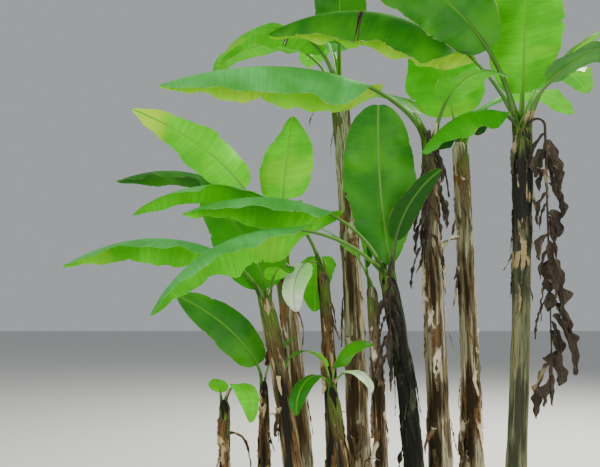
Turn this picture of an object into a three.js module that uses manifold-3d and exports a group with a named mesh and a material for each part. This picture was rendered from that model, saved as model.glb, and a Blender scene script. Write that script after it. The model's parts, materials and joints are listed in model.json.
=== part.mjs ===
// A banana clump: a dozen false stems that rise from one creeping rootstock, each with a crown of
// paddle-shaped leaves. Millimetres, +Z up, ground at z = 0. The origin is the centre of the main
// stem's foot, +X is to the right of the clump's open side and +Y runs away behind it.
import * as THREE from "three";
import { mergeVertices } from "three/addons/utils/BufferGeometryUtils.js";
import Module from "manifold-3d";

const wasm = await Module();
wasm.setup();

// Clearance between a leaf and the stem that carries it, and between the rootstock and the stems.
const CLEARANCE = 0.3;

// False stems: a round shaft of wrapped leaf bases, with a swollen foot and a flat crown.
const STEM_SIDES = 12;
const STEM_STATIONS = [0, 0.03, 0.08, 0.2, 0.45, 0.75, 0.95, 1];
const FOOT_SWELL = 0.38;
const FOOT_SWELL_HEIGHT = 0.07;
const CROWN_FLARE = 0.18;
const CROWN_FLARE_HEIGHT = 0.03;
// How far a petiole's foot stays inside the crown's rim.
const CROWN_MARGIN = 4;

// Leaves: thickness as a share of the leaf's length, and where along the blade the sections stand.
const LEAF_THICKNESS = 0.0106;
const PETIOLE_STATIONS = [0, 0.18, 0.6];
const BLADE_STATIONS = [0, 0.06, 0.18, 0.34, 0.5, 0.66, 0.81, 0.93, 1];
const CURVE_STEPS = 64;
const DEFAULT_BEND = 1;
const DEFAULT_SHAPE = [0.36, 0.62];
// A petiole is this share of its foot's radius where the blade starts, and at the blade's tip.
const RIB_AT_BLADE = 0.78;
const RIB_AT_TIP = 0.2;
// The rib's depth under the blade, and the rim of the petiole's gutter, as shares of its radius.
const RIB_DEPTH = 1.2;
const GUTTER_RIM = 0.6;
const GUTTER_DEPTH = 0.35;
// The blade's fold comes in over this stretch of the blade. Its underside turns with the fold only
// from this far off the rib, so that the two halves stay clear of each other.
const FOLD_STRETCH = [-0.02, 0.15];
const FOLD_REACH = 120;
// The last section stands this far off the tip, and at most this share of the blade.
const TIP_GAP = 12;
const TIP_GAP_MOST = 0.03;
// Half a tear's width along the blade, and how much of the half blade is left at its root.
const TEAR_HALF_WIDTH = 9;
const TEAR_ROOT = 0.14;

// Dead leaves that hang down a stem: a limp bundle of flattened section.
const BUNDLE_SIDES = 8;
const HOOK_STATIONS = 5;
const HANGING_STATIONS = [0.12, 0.35, 0.6, 0.82, 1];

const ROOTSTOCK_HEIGHT = 120;
const LOBE_SIDES = 9;
// Vertices closer than this are one vertex.
const WELD = 1e-3;

// One entry for each false stem. foot and crown are plan positions, radius is at the foot above the
// swelling and under the crown, parent is the shoot whose rootstock it budded from.
const SHOOTS = {
  centre: {
    foot: [0, 0], crown: [-220, 0],
    height: 1890, radius: [76, 58], bow: 35,
  },
  pale: {
    foot: [-250, 170], crown: [-335, 190],
    height: 1800, radius: [46, 38], bow: 10, parent: "centre",
  },
  slim: {
    foot: [-640, 230], crown: [-730, 220],
    height: 1930, radius: [56, 40], bow: 15, parent: "pale",
  },
  left_front: {
    foot: [-925, -20], crown: [-1195, 0],
    height: 1700, radius: [72, 54], bow: 20, parent: "slim",
  },
  left_back: {
    foot: [-880, 400], crown: [-1070, 500],
    height: 2010, radius: [78, 62], bow: 25, parent: "slim",
  },
  back: {
    foot: [-400, 800], crown: [-560, 850],
    height: 3650, radius: [98, 66], bow: 30, parent: "pale",
  },
  right_mid: {
    foot: [270, 420], crown: [205, 400],
    height: 3060, radius: [96, 62], bow: -20, parent: "centre",
  },
  right_far: {
    foot: [590, 760], crown: [520, 750],
    height: 3110, radius: [88, 62], bow: 15, parent: "right_mid",
  },
  right_tall: {
    foot: [745, 0], crown: [885, 0],
    height: 3080, radius: [78, 63], bow: 25, parent: "right_mid",
  },
  sucker_left: {
    foot: [-1485, -150], crown: [-1505, -170],
    height: 920, radius: [38, 32], bow: 0, parent: "left_front",
  },
  sucker_leaning: {
    foot: [-1190, 220], crown: [-1215, 200],
    height: 1030, radius: [38, 30], bow: 0, parent: "left_back",
  },
  sucker_mid: {
    foot: [-560, -260], crown: [-680, -300],
    height: 1030, radius: [42, 34], bow: 10, parent: "left_front",
  },
};

// One entry for each leaf, by shoot. azimuth is the way it leans (0 is +X, 90 is +Y), rise the angle
// it leaves the stem at, arch how far that angle falls by the tip, and bend how late it falls: under
// 1 the stalk bends and the blade is straight. petiole, blade, width and stalk (the petiole's radius
// at its foot) are in millimetres. roll turns the blade about its rib, fold lifts or drops its two
// halves, and tears lists the cuts in from the edge: where on the blade, and on which side. shape is
// how the width grows at the base and fades at the tip: under 0.5 round, over it drawn out.
// seat is where round the crown's rim the petiole stands; a leaf with no seat stands in its middle.
const LEAVES = {
  centre: [
    { name: "upright", azimuth: 165, rise: 80, arch: -12, roll: -75, seat: 60,
      petiole: 70, blade: 1340, width: 600, stalk: 18, shape: [0.7, 0.5] },
    { name: "arch_high", azimuth: 190, rise: 85, arch: 110, bend: 0.6, roll: 20, fold: -42, seat: 190,
      petiole: 590, blade: 1290, width: 540, stalk: 17, shape: [0.36, 0.8] },
    { name: "arch_low", azimuth: 197, rise: 45, arch: 110, roll: 25, fold: -40, seat: 240,
      petiole: 740, blade: 1490, width: 560, stalk: 17, shape: [0.36, 0.8] },
    { name: "right", azimuth: 330, rise: 88, arch: 58, bend: 1.2, roll: -30, seat: 335,
      petiole: 276, blade: 690, width: 240, stalk: 17 },
    { name: "rear", azimuth: 84, rise: 70, arch: 80, seat: 116,
      petiole: 260, blade: 480, width: 240, stalk: 17 },
  ],
  pale: [
    { name: "rear", azimuth: 178, rise: 76, arch: 70, seat: 250,
      petiole: 240, blade: 600, width: 260, stalk: 12 },
    { name: "spear", azimuth: 150, rise: 82, arch: 12, fold: 50, seat: 130,
      petiole: 160, blade: 560, width: 150, stalk: 12 },
  ],
  slim: [
    { name: "strap", azimuth: 195, rise: 85, arch: 125, bend: 0.8, roll: 20, fold: -25, seat: 200,
      petiole: 560, blade: 1370, width: 360, stalk: 15 },
    { name: "glossy", azimuth: 234, rise: 52, arch: 170, bend: 0.85, seat: 280,
      petiole: 310, blade: 450, width: 260, stalk: 13 },
    { name: "rear", azimuth: 97, rise: 60, arch: 165, bend: 0.85, seat: 60,
      petiole: 270, blade: 700, width: 330, stalk: 15 },
  ],
  left_front: [
    { name: "broad", azimuth: 148, rise: 78, arch: 50, roll: -50, seat: 100,
      petiole: 78, blade: 1080, width: 520, stalk: 17 },
    { name: "long", azimuth: 178, rise: 78, arch: 110, bend: 0.6, roll: 22, fold: -38, seat: 210,
      petiole: 430, blade: 1420, width: 460, stalk: 18, shape: [0.36, 0.8] },
    { name: "near", azimuth: 290, rise: 74, arch: 110, seat: 320,
      petiole: 160, blade: 460, width: 200, stalk: 16 },
  ],
  left_back: [
    { name: "upright", azimuth: 28, rise: 89, arch: 9, roll: 30, seat: 105,
      petiole: 560, blade: 760, width: 560, stalk: 18, shape: [0.3, 0.7] },
    { name: "broad", azimuth: 180, rise: 88, arch: 67, bend: 0.6, roll: -65, seat: 200,
      petiole: 720, blade: 1240, width: 430, stalk: 18, shape: [0.45, 0.9] },
    { name: "dark", azimuth: 172, rise: 88, arch: 110, bend: 0.8, roll: 10, fold: -30, seat: 150,
      petiole: 800, blade: 1110, width: 380, stalk: 17 },
    { name: "rear", azimuth: 95, rise: 72, arch: 90, seat: 45,
      petiole: 420, blade: 1000, width: 420, stalk: 17 },
  ],
  back: [
    { name: "left", azimuth: 196, rise: 84, arch: 159, roll: 10, fold: -20, seat: 215,
      petiole: 337, blade: 1219, width: 420, stalk: 20, tears: [[0.3, -1]] },
    { name: "upright", azimuth: 80, rise: 86, arch: 8,
      petiole: 420, blade: 1250, width: 500, stalk: 18 },
    { name: "rear", azimuth: 100, rise: 70, arch: 95, seat: 85,
      petiole: 520, blade: 1400, width: 500, stalk: 20 },
    { name: "rear_left", azimuth: 148, rise: 66, arch: 105, seat: 150,
      petiole: 450, blade: 1250, width: 460, stalk: 20 },
  ],
  right_mid: [
    { name: "long", azimuth: 191, rise: 88, arch: 110, bend: 0.4, roll: 7, fold: -60, seat: 190,
      petiole: 600, blade: 1930, width: 700, stalk: 22, shape: [0.36, 0.75] },
    { name: "rear", azimuth: 132, rise: 74, arch: 100, seat: 120,
      petiole: 300, blade: 1050, width: 420, stalk: 19 },
    { name: "near_right", azimuth: 300, rise: 80, arch: 120, seat: 315,
      petiole: 300, blade: 850, width: 380, stalk: 18 },
  ],
  right_far: [
    { name: "upright", azimuth: 150, rise: 80, arch: 4, roll: -60, seat: 100,
      petiole: 260, blade: 920, width: 720, stalk: 17 },
    { name: "right", azimuth: 32, rise: 64, arch: 95, seat: 335,
      petiole: 420, blade: 1300, width: 460, stalk: 18 },
    { name: "rear", azimuth: 88, rise: 70, arch: 90, seat: 55,
      petiole: 420, blade: 1300, width: 460, stalk: 18 },
  ],
  right_tall: [
    { name: "upright", azimuth: 55, rise: 81, arch: 2,
      petiole: 300, blade: 1700, width: 640, stalk: 19 },
    { name: "left", azimuth: 192, rise: 82, arch: 90, roll: 72, seat: 156,
      petiole: 700, blade: 1750, width: 600, stalk: 20 },
    { name: "high", azimuth: 168, rise: 70, arch: 97, bend: 1.1, fold: -66, seat: 104,
      petiole: 710, blade: 1950, width: 680, stalk: 20, tears: [[0.56, 1]] },
    { name: "low", azimuth: 195, rise: 89, arch: 148, bend: 0.42, fold: -45, seat: 208,
      petiole: 150, blade: 900, width: 480, stalk: 19 },
    { name: "right", azimuth: 358, rise: 76, arch: 95, seat: 355,
      petiole: 520, blade: 1600, width: 560, stalk: 19, tears: [[0.55, 1]] },
    { name: "near", azimuth: 322, rise: 66, arch: 105, seat: 256,
      petiole: 420, blade: 1250, width: 500, stalk: 20 },
    { name: "rear", azimuth: 50, rise: 70, arch: 95, seat: 53,
      petiole: 420, blade: 1300, width: 480, stalk: 18 },
  ],
  sucker_left: [
    { name: "small", azimuth: 259, rise: 75, arch: 60, seat: 200,
      petiole: 60, blade: 200, width: 150, stalk: 10 },
    { name: "drooping", azimuth: 302, rise: 62, arch: 170, bend: 1.1, seat: 330,
      petiole: 210, blade: 430, width: 190, stalk: 11 },
  ],
  sucker_leaning: [
    { name: "left", azimuth: 188, rise: 86, arch: 62, bend: 0.5, roll: -80, seat: 190,
      petiole: 140, blade: 880, width: 330, stalk: 12 },
    { name: "rear", azimuth: 20, rise: 82, arch: 60, seat: 60,
      petiole: 120, blade: 360, width: 160, stalk: 11 },
  ],
  sucker_mid: [
    { name: "hanging", azimuth: 228, rise: 69, arch: 170, bend: 0.8, seat: 210,
      petiole: 170, blade: 420, width: 190, stalk: 11 },
    { name: "glossy", azimuth: 330, rise: 84, arch: 170, bend: 0.9, seat: 330,
      petiole: 130, blade: 330, width: 180, stalk: 11 },
    { name: "right", azimuth: 18, rise: 89, arch: 126, bend: 1.6, fold: -45, seat: 60,
      petiole: 130, blade: 450, width: 260, stalk: 11 },
    { name: "left", azimuth: 197, rise: 89, arch: 175, bend: 1.48, seat: 150,
      petiole: 150, blade: 440, width: 170, stalk: 11 },
  ],
};

// Dead leaves, in the same terms: each is one limp length that bends over within its first share,
// hook, and hangs down beside its stem.
const DEAD = {
  centre: [
    { name: "dead", azimuth: 262, rise: 80, arch: 166, hook: 0.24, seat: 291,
      length: 950, width: 90, stalk: 14 },
  ],
  right_mid: [
    { name: "dead", azimuth: 255, rise: 80, arch: 167, hook: 0.18, seat: 255,
      length: 1300, width: 110, stalk: 15 },
  ],
  right_tall: [
    { name: "dead", azimuth: 322, rise: 80, arch: 170, hook: 0.09, seat: 308,
      length: 2500, width: 200, stalk: 15 },
  ],
};

const rad = THREE.MathUtils.degToRad;

// A closed solid skin through rings of equal count, each a loop of points, with both ends capped.
// The diagonals of its two halves mirror each other, and a cap fans out from between the first point
// and the one across from it, which is inside a folded section too.
function loft(rings) {
  const count = rings[0].length;
  const positions = rings.flat();
  const index = [];
  for (let i = 0; i + 1 < rings.length; i++)
    for (let j = 0; j < count; j++) {
      const [a, b] = [i * count + j, i * count + ((j + 1) % count)];
      if (j < count / 2) index.push(a, b, a + count, b, b + count, a + count);
      else index.push(a, b, b + count, a, b + count, a + count);
    }
  for (const [ring, first] of [[rings[0], 0], [rings.at(-1), (rings.length - 1) * count]]) {
    const middle = ring[0].clone().add(ring[Math.floor(count / 2)]).divideScalar(2);
    positions.push(middle);
    for (let j = 0; j < count; j++) {
      const [a, b] = [first + j, first + ((j + 1) % count)];
      index.push(...(first ? [a, b, positions.length - 1] : [b, a, positions.length - 1]));
    }
  }
  return outward(new THREE.BufferGeometry().setFromPoints(positions).setIndex(index));
}

// The same faces, turned to point out of the solid that they close.
function outward(geometry) {
  const [p, index] = [geometry.getAttribute("position"), geometry.index.array];
  const corner = (i) => new THREE.Vector3().fromBufferAttribute(p, index[i]);
  let volume = 0;
  for (let i = 0; i < index.length; i += 3) volume += corner(i).dot(corner(i + 1).cross(corner(i + 2)));
  if (volume < 0)
    for (let i = 0; i < index.length; i += 3) [index[i + 1], index[i + 2]] = [index[i + 2], index[i + 1]];
  return geometry;
}

// The stem's axis, in the shoot's own frame: straight from foot to crown with a slight bow.
function stemAxis(shoot, s) {
  const lean = [shoot.crown[0] - shoot.foot[0], shoot.crown[1] - shoot.foot[1]];
  const bow = shoot.bow * 4 * s * (1 - s);
  return new THREE.Vector3(lean[0] * s + bow, lean[1] * s, shoot.height * s);
}

// The stem's radius: an even taper, swollen towards the foot and spread where the petioles part.
function stemRadius(shoot, s) {
  const taper = THREE.MathUtils.lerp(shoot.radius[0], shoot.radius[1], s);
  const foot = FOOT_SWELL * Math.exp(-s / FOOT_SWELL_HEIGHT);
  const crown = CROWN_FLARE * Math.exp((s - 1) / CROWN_FLARE_HEIGHT);
  return taper * (1 + foot + crown);
}

// Rings of a stem, level, each grown by the same margin.
function stemRings(shoot, margin) {
  return STEM_STATIONS.map((s) => {
    const centre = stemAxis(shoot, s);
    const r = stemRadius(shoot, s) + margin;
    return Array.from({ length: STEM_SIDES }, (_, j) => {
      const a = (2 * Math.PI * j) / STEM_SIDES;
      return new THREE.Vector3(centre.x + r * Math.cos(a), centre.y + r * Math.sin(a), centre.z);
    });
  });
}

// The blade's half width along its length, 1 at its widest.
function outline([base, tip], t) {
  const peak = base / (base + tip);
  const most = peak ** base * (1 - peak) ** tip;
  return (Math.max(t, 0) ** base * Math.max(1 - t, 0) ** tip) / most;
}

// The rib's line, in the upright plane of the leaf's own +X: its climb falls from rise by arch as it
// runs out. Returns the point, the way along, the way to the left half and the upper side's way out.
function ribFrame(leaf, u) {
  const length = leaf.petiole + leaf.blade;
  const bend = leaf.bend ?? DEFAULT_BEND;
  const climb = (x) => rad(leaf.rise - leaf.arch * Math.min(1, x / (leaf.hook ?? 1)) ** bend);
  const along = (x) => new THREE.Vector3(Math.cos(climb(x)), 0, Math.sin(climb(x)));
  const point = new THREE.Vector3();
  const steps = Math.ceil(CURVE_STEPS * u);
  const step = u / steps;
  for (let i = 0; i < steps; i++) point.addScaledVector(along((i + 0.5) * step), length * step);
  const tangent = along(u);
  const level = new THREE.Vector3(0, 1, 0);
  const upright = tangent.clone().cross(level);
  const roll = rad(leaf.roll ?? 0) * Math.min(1, (u * length) / Math.max(leaf.petiole, 1));
  const left = level.clone().multiplyScalar(Math.cos(roll)).addScaledVector(upright, Math.sin(roll));
  const up = upright.multiplyScalar(Math.cos(roll)).addScaledVector(level, -Math.sin(roll));
  return { point, tangent, left, up };
}

// One section of a leaf: the two half blades above, the rib's keel below.
function leafRing(leaf, u, torn) {
  const length = leaf.petiole + leaf.blade;
  const t = (u * length - leaf.petiole) / leaf.blade;
  const onPetiole = THREE.MathUtils.lerp(1, RIB_AT_BLADE, (u * length) / leaf.petiole);
  const onBlade = THREE.MathUtils.lerp(RIB_AT_BLADE, RIB_AT_TIP, t);
  const rib = leaf.stalk * (t < 0 ? onPetiole : onBlade);
  const { point, tangent, left, up } = ribFrame(leaf, u);
  const fold = rad((leaf.fold ?? 0) * THREE.MathUtils.smoothstep(t, ...FOLD_STRETCH));
  const thick = length * LEAF_THICKNESS;
  const edge = t < 0 ? Math.min(thick, rib * GUTTER_RIM) : thick;
  const wide = t < 0 ? 0 : (leaf.width / 2) * outline(leaf.shape ?? DEFAULT_SHAPE, t);
  const half = (side) => Math.max(rib, wide * (torn[side] ?? 1));
  const place = (across, below, side) => {
    const out = left.clone().multiplyScalar(side * Math.cos(fold)).addScaledVector(up, Math.sin(fold));
    const lean = fold * Math.min(1, across / FOLD_REACH);
    const normal = up.clone().multiplyScalar(Math.cos(lean)).addScaledVector(left, -side * Math.sin(lean));
    return point.clone().addScaledVector(out, across).addScaledVector(normal, -below);
  };
  const keel = (across) => edge + RIB_DEPTH * rib * Math.sqrt(Math.max(0, 1 - (across / rib) ** 2));
  const gutter = t < 0.5 ? GUTTER_DEPTH * rib * (1 - Math.max(t, 0) * 2) : 0;
  const shoulder = (side) => Math.min(0.9 * rib, 0.3 * half(side));
  const ring = [];
  for (const side of [1, -1]) {
    const w = half(side);
    const under = [[w, edge], [w / 2, keel(w / 2)], [shoulder(side), keel(shoulder(side))]];
    const halfRing = [[w / 2, 0], [w, 0], ...under].map(([across, below]) => place(across, below, side));
    if (side > 0) ring.push(place(0, gutter, 1), ...halfRing, place(0, keel(0), 1));
    else ring.push(...halfRing.reverse());
  }
  return { ring, tangent };
}

// Where the leaf's sections stand along it, with three for each tear.
function leafStations(leaf) {
  const length = leaf.petiole + leaf.blade;
  const tip = 1 - Math.min(TIP_GAP / leaf.blade, TIP_GAP_MOST);
  const distances = [
    ...PETIOLE_STATIONS.map((s) => s * leaf.petiole),
    ...BLADE_STATIONS.map((t) => leaf.petiole + Math.min(t, tip) * leaf.blade),
  ];
  const plain = distances.map((distance) => ({ u: distance / length, torn: {} }));
  const cuts = (leaf.tears ?? []).flatMap(([t, side]) =>
    [-1, 0, 1].map((k) => ({
      u: (leaf.petiole + t * leaf.blade + k * TEAR_HALF_WIDTH) / length,
      torn: k ? {} : { [side]: TEAR_ROOT },
    })),
  );
  const room = (2.5 * TEAR_HALF_WIDTH) / length;
  const clear = plain.filter((p) => !cuts.some((c) => Math.abs(c.u - p.u) < room));
  return [...clear, ...cuts].sort((a, b) => a.u - b.u);
}

// Cuts the first ring level at z = 0, centres it on the origin, and lofts the leaf.
function footed(rings, tangent) {
  const foot = rings[0];
  foot.forEach((p) => p.addScaledVector(tangent, -p.z / tangent.z));
  const middle = new THREE.Box3().setFromPoints(foot).getCenter(new THREE.Vector3());
  return loft(rings).translate(-middle.x, -middle.y, 0);
}

// A leaf in its own frame: it leans along +X, and its foot is a level cut at z = 0.
function leafGeometry(leaf) {
  const rings = leafStations(leaf).map(({ u, torn }) => leafRing(leaf, u, torn));
  const { tangent } = rings[0];
  return footed(rings.map((r) => r.ring), tangent);
}

// A dead leaf in its own frame: it leans over +X and hangs down beside the stem.
function bundleGeometry(leaf) {
  const stations = Array.from({ length: HOOK_STATIONS + 1 }, (_, i) => (i / HOOK_STATIONS) * leaf.hook);
  for (const t of HANGING_STATIONS) stations.push(leaf.hook + t * (1 - leaf.hook));
  const limp = { ...leaf, petiole: 0, blade: leaf.length };
  const rings = stations.map((u) => {
    const { point, left, up } = ribFrame(limp, u);
    const t = Math.max(0, (u - leaf.hook) / (1 - leaf.hook));
    const wide = leaf.stalk + (leaf.width / 2 - leaf.stalk) * Math.sin(Math.PI * Math.min(t, 0.96)) ** 0.7;
    const deep = leaf.stalk * (1 - 0.35 * t);
    return Array.from({ length: BUNDLE_SIDES }, (_, j) => {
      const a = (2 * Math.PI * j) / BUNDLE_SIDES;
      const [across, over] = [wide * Math.cos(a), deep * Math.sin(a)];
      return point.clone().addScaledVector(left, across).addScaledVector(up, over);
    });
  });
  return footed(rings, ribFrame(limp, 0).tangent);
}

const finish = {
  stem: new THREE.MeshStandardMaterial({ color: 0x8a7350, roughness: 0.85, metalness: 0 }),
  darkStem: new THREE.MeshStandardMaterial({ color: 0x4a3a2a, roughness: 0.9, metalness: 0 }),
  blade: new THREE.MeshStandardMaterial({ color: 0x4f9a1e, roughness: 0.45, metalness: 0 }),
  dry: new THREE.MeshStandardMaterial({ color: 0x7a5a3a, roughness: 0.95, metalness: 0 }),
};

function named(name, geometry, material) {
  const mesh = new THREE.Mesh(geometry, material);
  mesh.name = name;
  return mesh;
}

// Sets a leaf on its stem's crown, clear of it, turned to its own heading.
function seatLeaf(mesh, shoot, leaf) {
  const reach = leaf.seat === undefined ? 0 : stemRadius(shoot, 1) - leaf.stalk - CROWN_MARGIN;
  const top = stemAxis(shoot, 1);
  const seat = rad(leaf.seat ?? 0);
  mesh.position.set(top.x + reach * Math.cos(seat), top.y + reach * Math.sin(seat), top.z + CLEARANCE);
  mesh.rotation.z = rad(leaf.azimuth);
  return mesh;
}

function buildShoot(key, shoot) {
  const group = new THREE.Group();
  group.position.set(shoot.foot[0], shoot.foot[1], 0);
  const bark = key === "centre" ? finish.darkStem : finish.stem;
  group.add(named(`stem_${key}`, loft(stemRings(shoot, 0)), bark));
  for (const leaf of LEAVES[key]) {
    const mesh = named(`leaf_${key}_${leaf.name}`, leafGeometry(leaf), finish.blade);
    group.add(seatLeaf(mesh, shoot, leaf));
  }
  for (const leaf of DEAD[key] ?? []) {
    const mesh = named(`leaf_${key}_${leaf.name}`, bundleGeometry(leaf), finish.dry);
    group.add(seatLeaf(mesh, shoot, leaf));
  }
  return group;
}

// Closed geometry to a solid and back, for the rootstock's joins and cuts.
function toSolid(geometry) {
  const bare = geometry.clone();
  bare.deleteAttribute("normal");
  bare.deleteAttribute("uv");
  const merged = mergeVertices(bare, WELD);
  const vertProperties = merged.attributes.position.array;
  const triVerts = new Uint32Array(merged.index.array);
  return new wasm.Manifold(new wasm.Mesh({ numProp: 3, vertProperties, triVerts }));
}

function fromSolid(solid) {
  const mesh = solid.getMesh();
  return new THREE.BufferGeometry()
    .setAttribute("position", new THREE.BufferAttribute(mesh.vertProperties, 3))
    .setIndex(new THREE.BufferAttribute(mesh.triVerts, 1));
}

// A low dome of rootstock round one stem's foot, on the ground.
function lobe(shoot) {
  const r = shoot.radius[0] * 1.5 + 70;
  const profile = [[0, 0], [r, 0], [r * 0.88, 0.65], [r * 0.5, 1], [0, 1]];
  const points = profile.map(([x, h]) => new THREE.Vector2(x, h * ROOTSTOCK_HEIGHT));
  const dome = new THREE.LatheGeometry(points, LOBE_SIDES).rotateX(Math.PI / 2);
  return dome.translate(shoot.foot[0], shoot.foot[1], 0);
}

// The run of rootstock between a shoot and the one it budded from: a low flat-bottomed ridge.
function link(shoot, parent) {
  const [from, to] = [parent.foot, shoot.foot].map(([x, y]) => new THREE.Vector2(x, y));
  const across = to.clone().sub(from).normalize().rotateAround(new THREE.Vector2(), Math.PI / 2);
  const [wide, high] = [shoot.radius[0] + 55, ROOTSTOCK_HEIGHT * 0.8];
  const section = [[-1, 0], [1, 0], [0.85, 0.6], [0.35, 1], [-0.35, 1], [-0.85, 0.6]];
  const ring = (p) =>
    section.map(([a, h]) => {
      const edge = p.clone().addScaledVector(across, a * wide);
      return new THREE.Vector3(edge.x, edge.y, h * high);
    });
  return loft([ring(from), ring(to)]);
}

function rootstock() {
  let solid;
  for (const shoot of Object.values(SHOOTS)) {
    const pieces = [lobe(shoot), ...(shoot.parent ? [link(shoot, SHOOTS[shoot.parent])] : [])];
    for (const piece of pieces.map(toSolid)) solid = solid ? solid.add(piece) : piece;
  }
  for (const shoot of Object.values(SHOOTS)) {
    const rings = stemRings(shoot, CLEARANCE);
    const below = rings[0].map((p) => p.clone().setZ(-ROOTSTOCK_HEIGHT));
    const socket = loft([below, ...rings]).translate(shoot.foot[0], shoot.foot[1], 0);
    solid = solid.subtract(toSolid(socket));
  }
  return named("rootstock", fromSolid(solid), finish.stem);
}

const clump = new THREE.Group();
for (const [key, shoot] of Object.entries(SHOOTS)) clump.add(buildShoot(key, shoot));
clump.add(rootstock());

export default clump;
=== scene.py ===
import json
import math
import zlib
from collections import namedtuple

import bpy
import numpy as np
from bpy.props import FloatProperty, FloatVectorProperty, IntProperty, PointerProperty
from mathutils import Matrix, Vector

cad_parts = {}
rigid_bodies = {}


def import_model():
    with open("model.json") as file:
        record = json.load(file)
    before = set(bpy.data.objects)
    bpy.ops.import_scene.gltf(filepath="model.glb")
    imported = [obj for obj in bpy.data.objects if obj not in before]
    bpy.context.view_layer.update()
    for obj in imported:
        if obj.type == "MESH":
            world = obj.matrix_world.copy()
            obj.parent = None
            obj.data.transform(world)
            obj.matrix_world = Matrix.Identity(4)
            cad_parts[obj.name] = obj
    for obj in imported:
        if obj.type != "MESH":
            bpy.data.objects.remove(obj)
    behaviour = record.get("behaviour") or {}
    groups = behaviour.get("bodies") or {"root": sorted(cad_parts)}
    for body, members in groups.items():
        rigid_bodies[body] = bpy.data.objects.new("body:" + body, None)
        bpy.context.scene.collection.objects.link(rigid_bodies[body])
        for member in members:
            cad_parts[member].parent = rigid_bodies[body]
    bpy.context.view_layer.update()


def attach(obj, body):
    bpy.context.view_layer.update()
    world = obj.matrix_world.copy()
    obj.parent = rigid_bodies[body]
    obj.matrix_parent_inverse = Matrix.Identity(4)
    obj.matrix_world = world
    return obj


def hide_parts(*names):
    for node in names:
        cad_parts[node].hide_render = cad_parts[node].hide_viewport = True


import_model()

bl_info = {
    "name": "Banana Clump",
    "version": (1, 0, 0),
    "blender": (4, 5, 0),
    "location": "3D View > Sidebar > Banana",
    "description": "Dresses the solids of a banana clump with bark, leaves and light",
    "category": "Add Mesh",
}

# The plan below is in millimetres.
MM = 0.001

# False stems. foot and crown are places on plan, radius is at the foot above the swelling and under
# the crown, bow is how far the middle stands off the straight line, parent is the shoot that it
# budded from.
Shoot = namedtuple("Shoot", "foot crown height radius bow parent")
SHOOTS = {
    "centre": Shoot((0, 0), (-220, 0), 1890, (76, 58), 35, None),
    "pale": Shoot((-250, 170), (-335, 190), 1800, (46, 38), 10, "centre"),
    "slim": Shoot((-640, 230), (-730, 220), 1930, (56, 40), 15, "pale"),
    "left_front": Shoot((-925, -20), (-1195, 0), 1700, (72, 54), 20, "slim"),
    "left_back": Shoot((-880, 400), (-1070, 500), 2010, (78, 62), 25, "slim"),
    "back": Shoot((-400, 800), (-560, 850), 3650, (98, 66), 30, "pale"),
    "right_mid": Shoot((270, 420), (205, 400), 3060, (96, 62), -20, "centre"),
    "right_far": Shoot((590, 760), (520, 750), 3110, (88, 62), 15, "right_mid"),
    "right_tall": Shoot((745, 0), (885, 0), 3080, (78, 63), 25, "right_mid"),
    "sucker_left": Shoot((-1485, -150), (-1505, -170), 920, (38, 32), 0, "left_front"),
    "sucker_leaning": Shoot((-1190, 220), (-1215, 200), 1030, (38, 30), 0, "left_back"),
    "sucker_mid": Shoot((-560, -260), (-680, -300), 1030, (42, 34), 10, "left_front"),
}

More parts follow.
